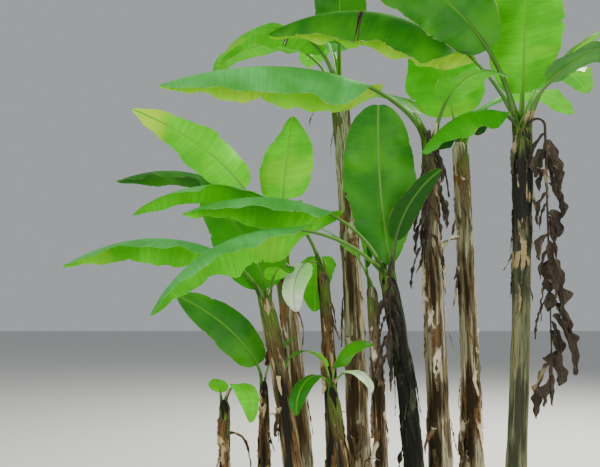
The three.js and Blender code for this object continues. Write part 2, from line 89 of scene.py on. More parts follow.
# Leaves, by shoot: name, azimuth, rise, arch, petiole, blade, width, stalk, seat, and what else
# isn't usual. azimuth is the way a leaf leans (0 is +X, 90 is +Y), rise the angle it leaves a stem
# at, arch how far that angle falls by the tip, petiole and blade are lengths, width the blade's,
# stalk the stalk's radius, seat where round the crown it stands, which is the middle where none is
# given. bend is how late the angle falls, hook the share of the length within which it falls. roll
# turns the blade about its rib, fold lifts or drops its two halves, tears lists where it is torn in
# from its edge and on which side, shape says how its width grows at the base and fades at the tip.
# upper and under name the finish of the two faces; several of these finishes paint light shining
# through the blade, a reflection of the sky, or shade onto it.
Leaf = namedtuple(
    "Leaf",
    "name azimuth rise arch petiole blade width stalk "
    "seat bend roll fold hook tears shape upper under",
    defaults=(None, 1, 0, 0, 1, (), (0.36, 0.62), "green", "fresh"),
)
LEAVES = {
    "centre": [
        Leaf("upright", 165, 80, -12, 70, 1340, 600, 18, 60,
             roll=-75, shape=(0.7, 0.5), under="green"),
        Leaf("arch_high", 190, 85, 110, 590, 1290, 540, 17, 190,
             bend=0.6, roll=20, fold=-42, shape=(0.36, 0.8), upper="blue"),
        Leaf("arch_low", 197, 45, 110, 740, 1490, 560, 17, 240,
             roll=25, fold=-40, shape=(0.36, 0.8), upper="blue"),
        Leaf("right", 330, 88, 58, 276, 690, 240, 17, 335,
             bend=1.2, roll=-30, upper="deep", under="deep"),
        Leaf("rear", 84, 70, 80, 260, 480, 240, 17, 116),
    ],
    "pale": [
        Leaf("rear", 178, 76, 70, 240, 600, 260, 12, 250),
        Leaf("spear", 150, 82, 12, 160, 560, 150, 12, 130, fold=50),
    ],
    "slim": [
        Leaf("strap", 195, 85, 125, 560, 1370, 360, 15, 200,
             bend=0.8, roll=20, fold=-25, upper="blue"),
        Leaf("glossy", 234, 52, 170, 310, 450, 260, 13, 280, bend=0.85, upper="pale"),
        Leaf("rear", 97, 60, 165, 270, 700, 330, 15, 60, bend=0.85),
    ],
    "left_front": [
        Leaf("broad", 148, 78, 50, 78, 1080, 520, 17, 100, roll=-50, upper="mid"),
        Leaf("long", 178, 78, 110, 430, 1420, 460, 18, 210,
             bend=0.6, roll=22, fold=-38, shape=(0.36, 0.8), upper="blue"),
        Leaf("near", 290, 74, 110, 160, 460, 200, 16, 320),
    ],
    "left_back": [
        Leaf("upright", 28, 89, 9, 560, 760, 560, 18, 105,
             roll=30, shape=(0.3, 0.7), upper="fresh"),
        Leaf("broad", 180, 88, 67, 720, 1240, 430, 18, 200,
             bend=0.6, roll=-65, shape=(0.45, 0.9), upper="tipped"),
        Leaf("dark", 172, 88, 110, 800, 1110, 380, 17, 150,
             bend=0.8, roll=10, fold=-30, under="green"),
        Leaf("rear", 95, 72, 90, 420, 1000, 420, 17, 45),
    ],
    "back": [
        Leaf("left", 196, 84, 159, 337, 1219, 420, 20, 215,
             roll=10, fold=-20, tears=((0.3, -1),), upper="fresh"),
        Leaf("upright", 80, 86, 8, 420, 1250, 500, 18),
        Leaf("rear", 100, 70, 95, 520, 1400, 500, 20, 85),
        Leaf("rear_left", 148, 66, 105, 450, 1250, 460, 20, 150),
    ],
    "right_mid": [
        Leaf("long", 191, 88, 110, 600, 1930, 700, 22, 190,
             bend=0.4, roll=7, fold=-60, shape=(0.36, 0.75), upper="blue", under="lit"),
        Leaf("rear", 132, 74, 100, 300, 1050, 420, 19, 120),
        Leaf("near_right", 300, 80, 120, 300, 850, 380, 18, 315),
    ],
    "right_far": [
        Leaf("upright", 150, 80, 4, 260, 920, 720, 17, 100, roll=-60, upper="fresh"),
        Leaf("right", 32, 64, 95, 420, 1300, 460, 18, 335),
        Leaf("rear", 88, 70, 90, 420, 1300, 460, 18, 55),
    ],
    "right_tall": [
        Leaf("upright", 55, 81, 2, 300, 1700, 640, 19, upper="fresh"),
        Leaf("left", 192, 82, 90, 700, 1750, 600, 20, 156, roll=72, under="green"),
        Leaf("high", 168, 70, 97, 710, 1950, 680, 20, 104,
             bend=1.1, fold=-66, tears=((0.56, 1),), under="lit"),
        Leaf("low", 195, 89, 148, 150, 900, 480, 19, 208,
             bend=0.42, fold=-45, upper="mid", under="deep"),
        Leaf("right", 358, 76, 95, 520, 1600, 560, 19, 355, tears=((0.55, 1),)),
        Leaf("near", 322, 66, 105, 420, 1250, 500, 20, 256, under="green"),
        Leaf("rear", 50, 70, 95, 420, 1300, 480, 18, 53),
    ],
    "sucker_left": [
        Leaf("small", 259, 75, 60, 60, 200, 150, 10, 200, upper="fresh"),
        Leaf("drooping", 302, 62, 170, 210, 430, 190, 11, 330, bend=1.1, upper="fresh"),
    ],
    "sucker_leaning": [
        Leaf("left", 188, 86, 62, 140, 880, 330, 12, 190, bend=0.5, roll=-80, under="green"),
        Leaf("rear", 20, 82, 60, 120, 360, 160, 11, 60),
    ],
    "sucker_mid": [
        Leaf("hanging", 228, 69, 170, 170, 420, 190, 11, 210, bend=0.8),
        Leaf("glossy", 330, 84, 170, 130, 330, 180, 11, 330, bend=0.9, upper="pale"),
        Leaf("right", 18, 89, 126, 130, 450, 260, 11, 60, bend=1.6, fold=-45),
        Leaf("left", 197, 89, 175, 150, 440, 170, 11, 150, bend=1.48),
    ],
}
DEAD = {
    "centre": Leaf("dead", 262, 80, 166, 0, 950, 90, 14, 291, hook=0.24),
    "right_mid": Leaf("dead", 255, 80, 167, 0, 1300, 110, 15, 255, hook=0.18),
    "right_tall": Leaf("dead", 322, 80, 170, 0, 2500, 200, 15, 308, hook=0.09),
}

# The same shares as the plan's solids: where a stem swells, and how a stalk thins.
FOOT_SWELL = 0.38
FOOT_SWELL_HEIGHT = 0.07
CROWN_FLARE = 0.18
CROWN_FLARE_HEIGHT = 0.03
CROWN_MARGIN = 4
CLEARANCE = 0.3
RIB_AT_BLADE = 0.78
RIB_AT_TIP = 0.2
RIB_DEPTH = 1.2
LEAF_THICKNESS = 0.0106
FOLD_STRETCH = (-0.02, 0.15)
TEAR_HALF_WIDTH = 9
TEAR_ROOT = 0.14
ROOTSTOCK_HEIGHT = 120

# The finer forms below are in metres and degrees, unless a line says otherwise.

# How fine the surfaces are.
RIB_STEPS = 600
STALK_SIDES = 16
STALK_STATION = 0.028
HALF_BLADE_COLUMNS = 14
STEM_SIDES = 96
STEM_STEP = 0.013
SHEATH_COLUMNS = 22
SHEATH_ROWS = 52
SHARP_ANGLE = 55

# The two finishes of a stem's piece and the five of a leaf's, by their place in its list.
BARK, STRIP = range(2)
UPPER, UNDER, STALK, SHEATH, TORN = range(5)

# Which bark each stem has, and the record's slot for it. The others are brown.
BARKS = {"centre": ("dark", "dark_sheath"), "right_tall": ("smooth", "smooth_sheath"),
         "right_mid": ("light", "sheath"), "right_far": ("light", "sheath"),
         "pale": ("light", "sheath"), "back": ("tan", "sheath"), "left_back": ("tan", "sheath")}

# Between which shares of its height a stem carries loose strips: of one that is bare below them,
# and of the others.
SHAGGY = {"right_tall": (0.66, 0.985)}
STRIPS_BETWEEN = (0.08, 0.97)

# Torn collars on a stem: the height of the lowest, the distance to the next and how far each may be
# off it, half the angle that it reaches round before it fades and where it has faded, how far it
# steps out, and the distance down over which the step dies away.
COLLAR_FIRST = 0.25
COLLAR_EVERY = 0.32
COLLAR_SHIFT = 0.1
COLLAR_REACH = (1.1, 1.5)
COLLAR_STEP = 0.0075
COLLAR_FADE = 0.22

# Broad strips of sheath that hang on a stem, and free ones that stand off it: the least and most
# length and half width, how strongly they curl across, their thickness, and how far a broad one's
# end may stand off.
FLAP_LENGTH = (0.12, 0.60)
FLAP_HALF_WIDTH = (0.010, 0.034)
FLAP_CURL = (-0.15, 0.55)
FLAP_THICKNESS = 0.0016
FLAP_STAND_OFF = 0.07
TATTER_LENGTH = (0.14, 0.42)
TATTER_HALF_WIDTH = (0.010, 0.026)
TATTER_CURL = (0.2, 0.9)
TATTER_THICKNESS = 0.0013

# The climb at a free strip's start and how far it falls: of those that first rise, and the others.
RISING_CLIMB = (70, 160)
HANGING_CLIMB = (-55, 33)
RISING_SHARE = 0.3

# The rib in the blade is drawn slimmer than the solid's, and a stalk's foot broader: by this share
# on a blade of the full length in millimetres, and fading over this distance.
RIB_SLIMMING = 0.42
STALK_SPREAD = 0.85
STALK_SPREAD_BLADE = 1500
STALK_SPREAD_REACH = 0.28

# How far a stalk goes on into the crown.
STALK_SUNK = 0.06

# A half blade: its lift beside the rib and the distance over which that dies away, how far it hangs
# by itself, and the steepest that it may hang.
RIB_LIFT = 24
RIB_LIFT_REACH = 0.022
BLADE_HANG = 7
STEEPEST_BLADE = 80

# A vein at the distance a from the rib has come this much nearer to the tip: the first times a and
# the second times a^2. Then the distance from pleat to pleat, the thickness at the edge, and the
# width in millimetres from which a blade waves in full.
VEIN_LEAN = (0.10, 0.30)
PLEAT_SPACING = 0.046
EDGE_THICKNESS = 0.0007
FULL_WAVE_WIDTH = 420

# Millimetres to each side of a tear in which the blade has died.
TORN_REACH = 18

# Small tears on a metre of a blade's edge, the half width of one, and the least and most that one
# takes off the half blade's width, as a share.
NICKS = 2.5
NICK_HALF_WIDTH = 0.013
NICK_DEPTH = (0.03, 0.13)

# A sheath: how far it reaches up its stalk and half the angle in radians that it wraps round it
# there, the least and most that it reaches down, and half the angle that it ends with.
SHEATH_ABOVE = 0.17
SHEATH_WRAP = 1.7
SHEATH_DOWN = (0.45, 0.9)
SHEATH_HALF_ANGLE = (64, 96)

# A dead leaf: flaps of torn blade on a metre of it, their least and most length, their half width
# as a share of its own, how narrow every third one is beside the others, their thickness, how
# steeply they start and how much more steeply they end, and the share of the length at which it
# ends.
DEAD_FLAPS = 13
DEAD_FLAP_LENGTH = (0.16, 0.50)
DEAD_FLAP_WIDTH = (0.4, 0.8)
DEAD_FLAP_NARROW = 0.35
DEAD_FLAP_THICKNESS = 0.0014
DEAD_FLAP_CLIMB = (-35, 51)
DEAD_END = 0.9

# Millimetres that the rootstock's lobe is wider than one and a half of its stem's radius, that a
# ridge is wider than the radius, and the ridge's height as a share of the lobe's.
LOBE_MARGIN = 70
RIDGE_MARGIN = 55
RIDGE_HEIGHT = 0.8

# Where the lit tip of some blades starts, from their base.
LIT_FROM = {"tipped": 0.82}

# How strongly dry sheaths shine.
DRY_GLOSS = 0.25

# How light a stalk is under a blade of some tones: painted shade darkens it under a deep blade.
STALK_LIGHT = {"deep": 0.4, "green": 0.85}

# How much living sheath shows through the dry ones.
LIVING = {"brown": 0.4, "light": 0.6, "tan": 0.45, "dark": 0.0, "smooth": 0.7}

# How far down a sheath stays green.
GREEN_DOWN = {"brown": 0.16, "light": 0.10, "tan": 0.20, "dark": 0.02, "smooth": 0.02}

# The height from which dark old sheaths hide the living one.
OLD_FROM = {"smooth": 2.0}

# The camera's place, how far it looks up, and its sensor's width in millimetres.
CAMERA = (-0.92, -6.67, 1.6)
CAMERA_PITCH = 5.3
SENSOR = 36

# Half the floor's side, where the lights point, and each light's place and size, which power of
# the panel it has and how much of it, and its colour.
FLOOR_HALF = 60
LIT_PLACE = (-0.3, 0.4, 2.6)
LIGHTS = {"key": ((4.5, 3.5, 9.0), 4.0, "key", 1, (1.0, 0.97, 0.88)),
          "fill": ((-6.0, -7.5, 5.0), 6.0, "fill", 1, (0.95, 0.98, 1.0)),
          "front": ((3.5, -8.0, 3.0), 5.0, "fill", 0.6, (1.0, 1.0, 1.0))}
SKY_COLOUR = (0.92, 0.97, 1.0, 1)


def measure(label, words, value, least=0):
    """A length that a user may change."""
    return FloatProperty(name=label, description=words, default=value, min=least, unit="LENGTH")


def amount(label, words, value, least=0):
    """A plain number that a user may change."""
    return FloatProperty(name=label, description=words, default=value, min=least)


def tint(label, words, value):
    """A colour that a user may change."""
    return FloatVectorProperty(name=label, description=words, subtype="COLOR", size=3,
                               default=value, min=0, max=1)


class BananaStems(bpy.types.PropertyGroup):
    """What a user would change on the false stems."""

    sheath_edge: measure("Sheath edge", "How far one dry sheath stands proud of the next", 0.0065)
    sheaths: IntProperty(
        name="Sheaths", description="Sheath edges that show round a stem", default=5, min=1)
    fibre: measure("Fibre", "Height of the ridges that run up a stem", 0.0011)
    flaps: amount("Flaps", "Broad strips that hang down a metre of stem", 6)
    tatters: amount("Tatters", "Free strips that stand off a metre of stem", 1.3)


class BananaLeaves(bpy.types.PropertyGroup):
    """What a user would change on the leaves."""

    thickness: measure("Thickness", "Thickness of a blade beside its rib", 0.0022, 0.0002)
    station: measure("Station", "Distance between sections along a blade", 0.0105, 0.002)
    wave: measure("Wave", "How far the edge of a broad blade swings up and down", 0.024)
    pleat: measure("Pleat", "Height of the shallow pleats that follow the veins", 0.0005)
    vein: measure("Vein", "Distance between side veins", 0.0085, 0.001)
    droop: amount("Droop", "How much more steeply the outer half of a blade hangs", 0.5)


class BananaColours(bpy.types.PropertyGroup):
    """The colours of leaves, stalks and stems."""

    # This colour is a young blade's yellow-green, brightened by painted light shining through it
    # from behind.
    fresh: tint("Fresh", "Young blade with light in it", (0.148, 0.80, 0.002))
    lit: tint("Lit", "Young underside with the sun behind it", (0.55, 0.90, 0.02))
    green: tint("Green", "Grown blade", (0.019, 0.190, 0.002))
    deep: tint("Deep", "Shaded face of a grown blade", (0.009, 0.092, 0.004))
    # This colour is a waxy blue-green upper face with a painted reflection of the sky on it.
    blue: tint("Blue", "Waxy upper face that takes the sky", (0.100, 0.56, 0.095))
    pale: tint("Pale", "Blade that is almost white with light", (0.93, 1.00, 0.74))
    rib: tint("Rib", "Rib and stalk", (0.16, 0.42, 0.020))
    stalk_dark: tint("Dark stalk", "Shaded side of a stalk", (0.045, 0.13, 0.008))
    straw: tint("Straw", "Dry sheath in the light", (0.60, 0.455, 0.215))
    # This colour is sheath dried pale, brightened almost to white by painted sunlight.
    bleached_and_sunlit: tint("Bleached", "Sheath dried almost white", (0.86, 0.73, 0.50))
    bark: tint("Bark", "Dry sheath", (0.125, 0.076, 0.026))
    rust: tint("Rust", "Sheath that has just dried", (0.31, 0.150, 0.045))
    dark: tint("Dark", "Weathered sheath", (0.021, 0.021, 0.012))
    smooth: tint("Smooth", "Living sheath", (0.195, 0.218, 0.100))
    dead: tint("Dead leaf", "Dry blade", (0.092, 0.070, 0.046))
    earth: tint("Rootstock", "Earthy rootstock", (0.15, 0.095, 0.055))


class BananaStage(bpy.types.PropertyGroup):
    """Floor, light and camera."""

    floor: tint("Floor", "Floor and surroundings", (0.62, 0.62, 0.60))
    key: amount("Key light", "Power of the large light above and behind", 2300)
    fill: amount("Fill light", "Power of the light beside the camera", 450)
    sky: amount("Sky", "Strength of the light from all round", 0.41)
    lens: amount("Lens", "Focal length in millimetres on a 36 mm sensor", 50, 1)


def settings():
    """The four groups of settings that hang on the scene."""
    scene = bpy.context.scene
    return scene.banana_stems, scene.banana_leaves, scene.banana_colours, scene.banana_stage


# Small tools for arrays of points.

UP = np.array([0, 0, 1])


def seeded(name):
    """A random generator that gives the same numbers for the same piece in every run."""
    return np.random.default_rng(zlib.crc32(name.encode()))


def smoothstep(x, low, high):
    """0 up to low, 1 from high on, and the cubic 3q^2 - 2q^3 between them."""
    q = np.clip((x - low) / (high - low), 0, 1)
    return q * q * (3 - 2 * q)


def lerp(a, b, s):
    """The straight mix of a and b."""
    return a + (b - a) * s


def ripple(rng, length, height, *coordinates, waves=5):
    """A smooth random field: the mean of some sines, each with its own direction over the
    coordinates, a wavelength within half as much again of the one asked for, and a phase."""
    total = 0
    for _ in range(waves):
        way = rng.normal(size=len(coordinates))
        way /= np.linalg.norm(way)
        reach = length * rng.uniform(0.65, 1.5)
        turn = sum(w * c for w, c in zip(way, coordinates))
        total = total + np.sin(turn * 2 * math.pi / reach + rng.uniform(0, 2 * math.pi))
    return height * total / math.sqrt(waves)


def wobble(rng, length, height, x, waves=4):
    """A smooth random line over x, in the same way as ripple."""
    return ripple(rng, length, height, x, waves=waves)


def spread_out(*coordinates):
    """The coordinates, spread over one grid, as its last axis."""
    return np.stack(np.broadcast_arrays(*coordinates), -1)


def about(axis, r, angle, height):
    """Points at the distance r from an upright axis, an angle round it and their own height."""
    return spread_out(axis[:, None, 0] + r * np.cos(angle), axis[:, None, 1] + r * np.sin(angle),
                      height)


def beside(line, left, up, x, y):
    """Points beside each point of a line: x along its left direction and y along its up one."""
    return line[:, None] + left[:, None] * x[..., None] + up[:, None] * y[..., None]


def turned(left, up, angle):
    """The two directions turned by an angle about the line that they stand across."""
    c, s = np.cos(angle)[..., None], np.sin(angle)[..., None]
    return left * c + up * s, up * c - left * s


def compass(angle):
    """The level directions at an angle, and a quarter turn to its left."""
    c, s = math.cos(angle), math.sin(angle)
    return np.array([c, s, 0]), np.array([-s, c, 0])


class Surface:
    """One closed skin: its points, the grain at each, its faces, and the finish of each face."""

    def __init__(self, points, grain, quads, caps, quad_finish, cap_finish):
        self.points, self.grain = points, grain
        self.quads, self.caps = quads, caps
        self.quad_finish, self.cap_finish = quad_finish, cap_finish

    def volume(self):
        """Six times the volume inside: the sum of each triangle's box product with the origin."""
        p = self.points - self.points.mean(0)
        faces = np.concatenate([self.quads[:, [0, 1, 2]], self.quads[:, [0, 2, 3]], self.caps])
        a, b, c = (p[faces[:, k]] for k in range(3))
        return np.einsum("ij,ij->", a, np.cross(b, c))


def skin(rings, grain, finish=0):
    """A closed skin over rings[i, j], where i runs along and j round each closed ring. Quads join
    ring to ring, and a fan to its middle closes each end. finish is one number, or one for each
    column, or for each quad. The faces are turned to point outwards, which the sign of the volume
    tells."""
    count, sides, _ = rings.shape
    i, j = np.meshgrid(np.arange(count - 1), np.arange(sides), indexing="ij")
    a, b = i * sides + j, i * sides + (j + 1) % sides
    quads = np.stack([a, b, b + sides, a + sides], -1).reshape(-1, 4)
    quad_finish = np.broadcast_to(np.asarray(finish), (count - 1, sides))
    ends, points, grains = [], [rings.reshape(-1, 3)], [grain.reshape(-1, 3)]
    for row, middle in ((0, count * sides), (count - 1, count * sides + 1)):
        first = row * sides
        near = first + np.arange(sides)
        far = first + (np.arange(sides) + 1) % sides
        fan = np.stack([near, far, np.full(sides, middle)], -1)
        ends.append(fan if row else fan[:, ::-1])
        points.append(rings[row].mean(0, keepdims=True))
        grains.append(grain[row].mean(0, keepdims=True))
    made = Surface(np.concatenate(points), np.concatenate(grains), quads, np.concatenate(ends),
                   quad_finish.reshape(-1), np.full(2 * sides, quad_finish[-1, -1]))
    if made.volume() < 0:
        made.quads, made.caps = made.quads[:, ::-1], made.caps[:, ::-1]
    return made


def thin_skin(upper, lower, grain, finish):
    """A closed skin whose rings run out along one face's grid and back along the other's."""
    return skin(np.concatenate([upper, lower[:, ::-1]], 1),
                np.concatenate([grain, grain[:, ::-1]], 1), finish)


def add_piece(name, surfaces, finishes, nodes):
    """Joins surfaces into one mesh object, gives it its finishes, and sets it on the frame in place
    of the solids that it stands for."""
    def joined(part, add=None):
        """That part of every surface, one after another, with a surface's own number in add added
        to it."""
        rows = [getattr(s, part) for s in surfaces]
        return np.concatenate(rows if add is None else [row + n for row, n in zip(rows, add)])

    first = np.cumsum([0] + [len(s.points) for s in surfaces[:-1]])
    points, quads, caps = joined("points"), joined("quads", first), joined("caps", first)
    mesh = bpy.data.meshes.new(name)
    mesh.vertices.add(len(points))
    mesh.vertices.foreach_set("co", points.astype(np.float32).ravel())
    corners = np.concatenate([quads.ravel(), caps.ravel()])
    mesh.loops.add(len(corners))
    mesh.loops.foreach_set("vertex_index", corners.astype(np.int32))
    starts = np.concatenate([np.arange(len(quads)) * 4, len(quads) * 4 + np.arange(len(caps)) * 3])
    mesh.polygons.add(len(starts))
    mesh.polygons.foreach_set("loop_start", starts.astype(np.int32))
    numbers = np.concatenate([joined("quad_finish"), joined("cap_finish")])
    mesh.polygons.foreach_set("material_index", numbers.astype(np.int32))
    mesh.polygons.foreach_set("use_smooth", np.ones(len(starts), bool))
    mesh.update(calc_edges=True)
    if mesh.validate():
        raise RuntimeError(f"{name} has faces that had to be mended")
    mesh.attributes.new("grain", "FLOAT_VECTOR", "POINT")
    grain = joined("grain").astype(np.float32)
    mesh.attributes["grain"].data.foreach_set("vector", grain.ravel())
    mesh.set_sharp_from_angle(angle=math.radians(SHARP_ANGLE))
    for given in finishes:
        mesh.materials.append(finish_named(given))
    piece = bpy.data.objects.new(name, mesh)
    bpy.context.scene.collection.objects.link(piece)
    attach(piece, "root")
    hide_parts(*nodes)


# Stems.

def stem_axis(shoot, s):
    """The middle of a stem at the shares s of its height: straight from foot to crown, plus a bow
    that follows 4s(1 - s)."""
    (x0, y0), (x1, y1) = shoot.foot, shoot.crown
    bow = shoot.bow * 4 * s * (1 - s)
    return np.stack([lerp(x0, x1, s) + bow, lerp(y0, y1, s), shoot.height * s], -1) * MM


def stem_radius(shoot, s):
    """An even taper, swollen at the foot by exp(-s / height) and flared at the crown likewise."""
    taper = lerp(*shoot.radius, s)
    foot = FOOT_SWELL * np.exp(-s / FOOT_SWELL_HEIGHT)
    crown = CROWN_FLARE * np.exp((s - 1) / CROWN_FLARE_HEIGHT)
    return taper * (1 + foot + crown) * MM


def stem_relief(rng, options, angle, height, radius, tall):
    """How far the bark stands off the plain stem. Overlapping sheaths: a saw of the angle, whose
    edges wander up the stem. Torn collars: a step down above a ragged line, on part of the way
    round. Then fibres, dents and wrinkles."""
    edges = options.sheaths
    drift = wobble(rng, 1.1, 0.5, height) + height * rng.uniform(-0.5, 0.5)
    saw = ((angle + drift) * edges / (2 * math.pi)) % 1
    edge = smoothstep(saw, 0.0, 0.05) * (1 - saw) ** 0.8
    relief = options.sheath_edge * edge * (0.7 + ripple(rng, 0.6, 0.35, height, angle * 0.2))
    for start in np.arange(COLLAR_FIRST, tall, COLLAR_EVERY):
        middle = rng.uniform(0, 2 * math.pi)
        apart = np.abs((angle - middle + math.pi) % (2 * math.pi) - math.pi)
        shift = rng.uniform(-COLLAR_SHIFT, COLLAR_SHIFT)
        ragged = start + shift + 0.05 * np.sin(angle * 3 + start * 9) \
            + 0.02 * np.sin(angle * 11 + start * 5) + 0.012 * np.sin(angle * 29)
        down = ragged - height
        below = smoothstep(down, 0, 0.006) * np.exp(-np.maximum(down, 0) / COLLAR_FADE)
        relief += COLLAR_STEP * (1 - smoothstep(apart, *COLLAR_REACH)) * below
    x, y = np.cos(angle) * radius, np.sin(angle) * radius
    relief += options.fibre * (np.sin(angle * 23 + wobble(rng, 0.5, 1.4, height))
                               + 0.7 * np.sin(angle * 41 + wobble(rng, 0.4, 1.8, height)))
    relief += ripple(rng, 0.13, 0.0032, x, y, height * 0.45)
    relief += ripple(rng, 0.035, 0.0010, x, y, height * 0.3)
    return relief


def stem_surface(key, shoot, options):
    """The bark: rings round the axis at stem_radius plus stem_relief, flat on the ground, and drawn
    in at the top, where the stalks come out of it."""
    rng = seeded("stem" + key)
    tall = shoot.height * MM
    s = np.linspace(0, 1, int(tall / STEM_STEP) + 2)
    angle = np.linspace(0, 2 * math.pi, STEM_SIDES, endpoint=False)
    axis, radius = stem_axis(shoot, s), stem_radius(shoot, s)
    around, along = np.meshgrid(angle, s * tall)
    r = np.broadcast_to(radius[:, None], around.shape)
    top = smoothstep(tall - along, 0, 0.07)
    relief = stem_relief(rng, options, around, along, r, tall) * (0.3 + 0.7 * top)
    if key in SHAGGY:
        relief *= lerp(0.35, 1, smoothstep(along / tall, SHAGGY[key][0] - 0.15, SHAGGY[key][0]))
    out = r * (0.55 + 0.45 * np.sqrt(top)) + relief
    grain = spread_out(r * np.cos(around), r * np.sin(around), along)
    return skin(about(axis, out, around, axis[:, None, 2]), grain, BARK)


def ribbon(line, across, lift, half_width, thick, crumple, finish):
    """A thin closed strip along a line: across and lift are unit directions at each point of it,
    half_width its half width there, thick its thickness, crumple how far each point of the
    [point, column] grid stands off."""
    x = np.linspace(-1, 1, crumple.shape[1])[None, :] * half_width[:, None]
    upper = beside(line, across, lift, x, crumple)
    way = np.concatenate([[0], np.cumsum(np.linalg.norm(np.diff(line, axis=0), axis=1))])
    grain = spread_out(x, crumple, way[:, None])
    return thin_skin(upper, upper - lift[:, None] * thick, grain, finish)


def flap(rng, shoot, lowest, highest):
    """A broad strip of dry sheath that hangs down the stem. On the grid (x, b), x down its length
    and b across, it stands off the bark by reach x^1.7 + curl b^2 and narrows and frays to its
    end."""
    tall = shoot.height * MM
    s = rng.uniform(lowest, highest)
    length = min(rng.uniform(*FLAP_LENGTH), s * tall - 0.03)
    x, b = np.linspace(0, 1, 26), np.linspace(-1, 1, 7)
    down = s - x * length / tall
    axis, radius = stem_axis(shoot, down), stem_radius(shoot, down)
    fray = 1 + wobble(rng, 0.07, 0.2, x * length)
    half = rng.uniform(*FLAP_HALF_WIDTH) * (1 - 0.8 * x ** 2.5) * fray
    middle = rng.uniform(0, 2 * math.pi) + wobble(rng, 0.5, 0.22, x * length)
    turn = middle[:, None] + b[None] * (half / radius)[:, None]
    reach = rng.uniform(0, FLAP_STAND_OFF) * (0.3 + 0.7 * (rng.random() < 0.4))
    curl = rng.uniform(*FLAP_CURL)
    off = lerp(-0.006, 0.009, smoothstep(x, 0, 0.12)) + reach * x ** 1.7
    grid = off[:, None] + curl * half[:, None] * b[None] ** 2 \
        + ripple(rng, 0.06, 0.0035, x[:, None] * length, b[None] * 0.02)
    way = spread_out(np.cos(turn), np.sin(turn), 0)
    upper = axis[:, None] + way * (radius[:, None] + grid)[..., None]
    grain = spread_out(b[None] * half[:, None], grid, (x * length)[:, None])
    return thin_skin(upper, upper - way * FLAP_THICKNESS, grain, STRIP)


def tatter(rng, shoot, lowest, highest):
    """A free strip of dry sheath. Its line starts on the bark, and its climb falls from steep to
    hanging as arch times the share to a power, as a leaf's rib does."""
    s = rng.uniform(lowest, highest)
    angle = rng.uniform(0, 2 * math.pi)
    length = rng.uniform(*TATTER_LENGTH)
    share = np.linspace(0, 1, 22)
    rises = rng.random() < RISING_SHARE
    start, fall = RISING_CLIMB if rises else HANGING_CLIMB
    power = rng.uniform(0.3, 0.6) if rises else 0.4
    climb = np.radians(start - fall * share ** power)
    step = length / (len(share) - 1)
    run = np.concatenate([[0], np.cumsum(np.cos(climb[1:]) * step)])
    rise = np.concatenate([[0], np.cumsum(np.sin(climb[1:]) * step)])
    sway = wobble(rng, length, 0.05 * length, share * length)
    centre, radius = stem_axis(shoot, np.array([s]))[0], stem_radius(shoot, np.array([s]))[0]
    away, level = compass(angle)
    reach = radius * 0.98 + run
    line = centre + away * reach[:, None] + level * sway[:, None] + UP * rise[:, None]
    line[:, 2] = np.maximum(line[:, 2], 0.012)
    twist = wobble(rng, length, 0.5, share * length) + rng.uniform(-0.5, 0.5) * share
    lift = away * np.sin(climb)[:, None] - UP * np.cos(climb)[:, None]
    across, lift = turned(level, lift, twist)
    fray = 1 + wobble(rng, 0.08, 0.15, share * length)
    width = rng.uniform(*TATTER_HALF_WIDTH) * (1 - 0.75 * share ** 3) * fray
    b = np.linspace(-1, 1, 5)[None]
    crumple = -rng.uniform(*TATTER_CURL) * width[:, None] * b ** 2 \
        + ripple(rng, 0.05, 0.0022, share[:, None] * length, b * 0.02)
    return ribbon(line, across, lift, np.maximum(width, 0.0012), TATTER_THICKNESS, crumple, STRIP)


# Leaves.

def rib_line(leaf, u):
    """The rib at the shares u of the leaf's length, in its own upright plane: the climb is
    rise - arch * min(1, u / hook) ^ bend, and the point is the sum of the steps along it. Gives the
    point, the way along, the way to the left half and the way out of the upper face."""
    length = (leaf.petiole + leaf.blade) * MM

    def climb(x):
        """The rib's climb in radians at the shares x of its length."""
        return np.radians(leaf.rise - leaf.arch * np.minimum(1, x / leaf.hook) ** leaf.bend)

    middle = (np.arange(RIB_STEPS) + 0.5) / RIB_STEPS
    steps = np.stack([np.cos(climb(middle)), np.sin(climb(middle))], -1) * length / RIB_STEPS
    walked = np.concatenate([np.zeros((1, 2)), np.cumsum(steps, 0)])
    knots = np.linspace(0, 1, RIB_STEPS + 1)
    run, rise = np.interp(u, knots, walked[:, 0]), np.interp(u, knots, walked[:, 1])
    zero, one = np.zeros_like(u), np.ones_like(u)
    c = climb(u)
    tangent = np.stack([np.cos(c), zero, np.sin(c)], -1)
    upright = np.stack([-np.sin(c), zero, np.cos(c)], -1)
    level = np.stack([zero, one, zero], -1)
    roll = np.radians(leaf.roll) * np.minimum(1, u * length / max(leaf.petiole * MM, MM))
    left, up = turned(level, upright, roll)
    return np.stack([run, zero, rise], -1), tangent, left, up


def outline(shape, t):
    """The half width along a blade: t^base (1 - t)^tip over its most. Under 0.5 is round, over it
    drawn out."""
    base, tip = shape
    peak = base / (base + tip)
    most = peak ** base * (1 - peak) ** tip
    return np.maximum(t, 0) ** base * np.maximum(1 - t, 0) ** tip / most


def rib_radius(leaf, u):
    """The rib's radius: it thins evenly along the stalk, faster where the blade starts, then evenly
    to the tip."""
    length = leaf.petiole + leaf.blade
    t = (u * length - leaf.petiole) / leaf.blade
    on_stalk = lerp(1, RIB_AT_BLADE, u * length / max(leaf.petiole, 1))
    on_blade = lerp(RIB_AT_BLADE, RIB_AT_TIP, t) * lerp(1, RIB_SLIMMING, smoothstep(t, 0, 0.3))
    return leaf.stalk * np.where(t < 0, on_stalk, on_blade) * MM


def stalk_radius(leaf, u):
    """The rib's radius, spread at the foot by exp(-distance / reach), more under a long blade."""
    walked = u * (leaf.petiole + leaf.blade) * MM
    spread = STALK_SPREAD * min(1.2, leaf.blade / STALK_SPREAD_BLADE)
    return rib_radius(leaf, u) * (1 + spread * np.exp(-walked / STALK_SPREAD_REACH))


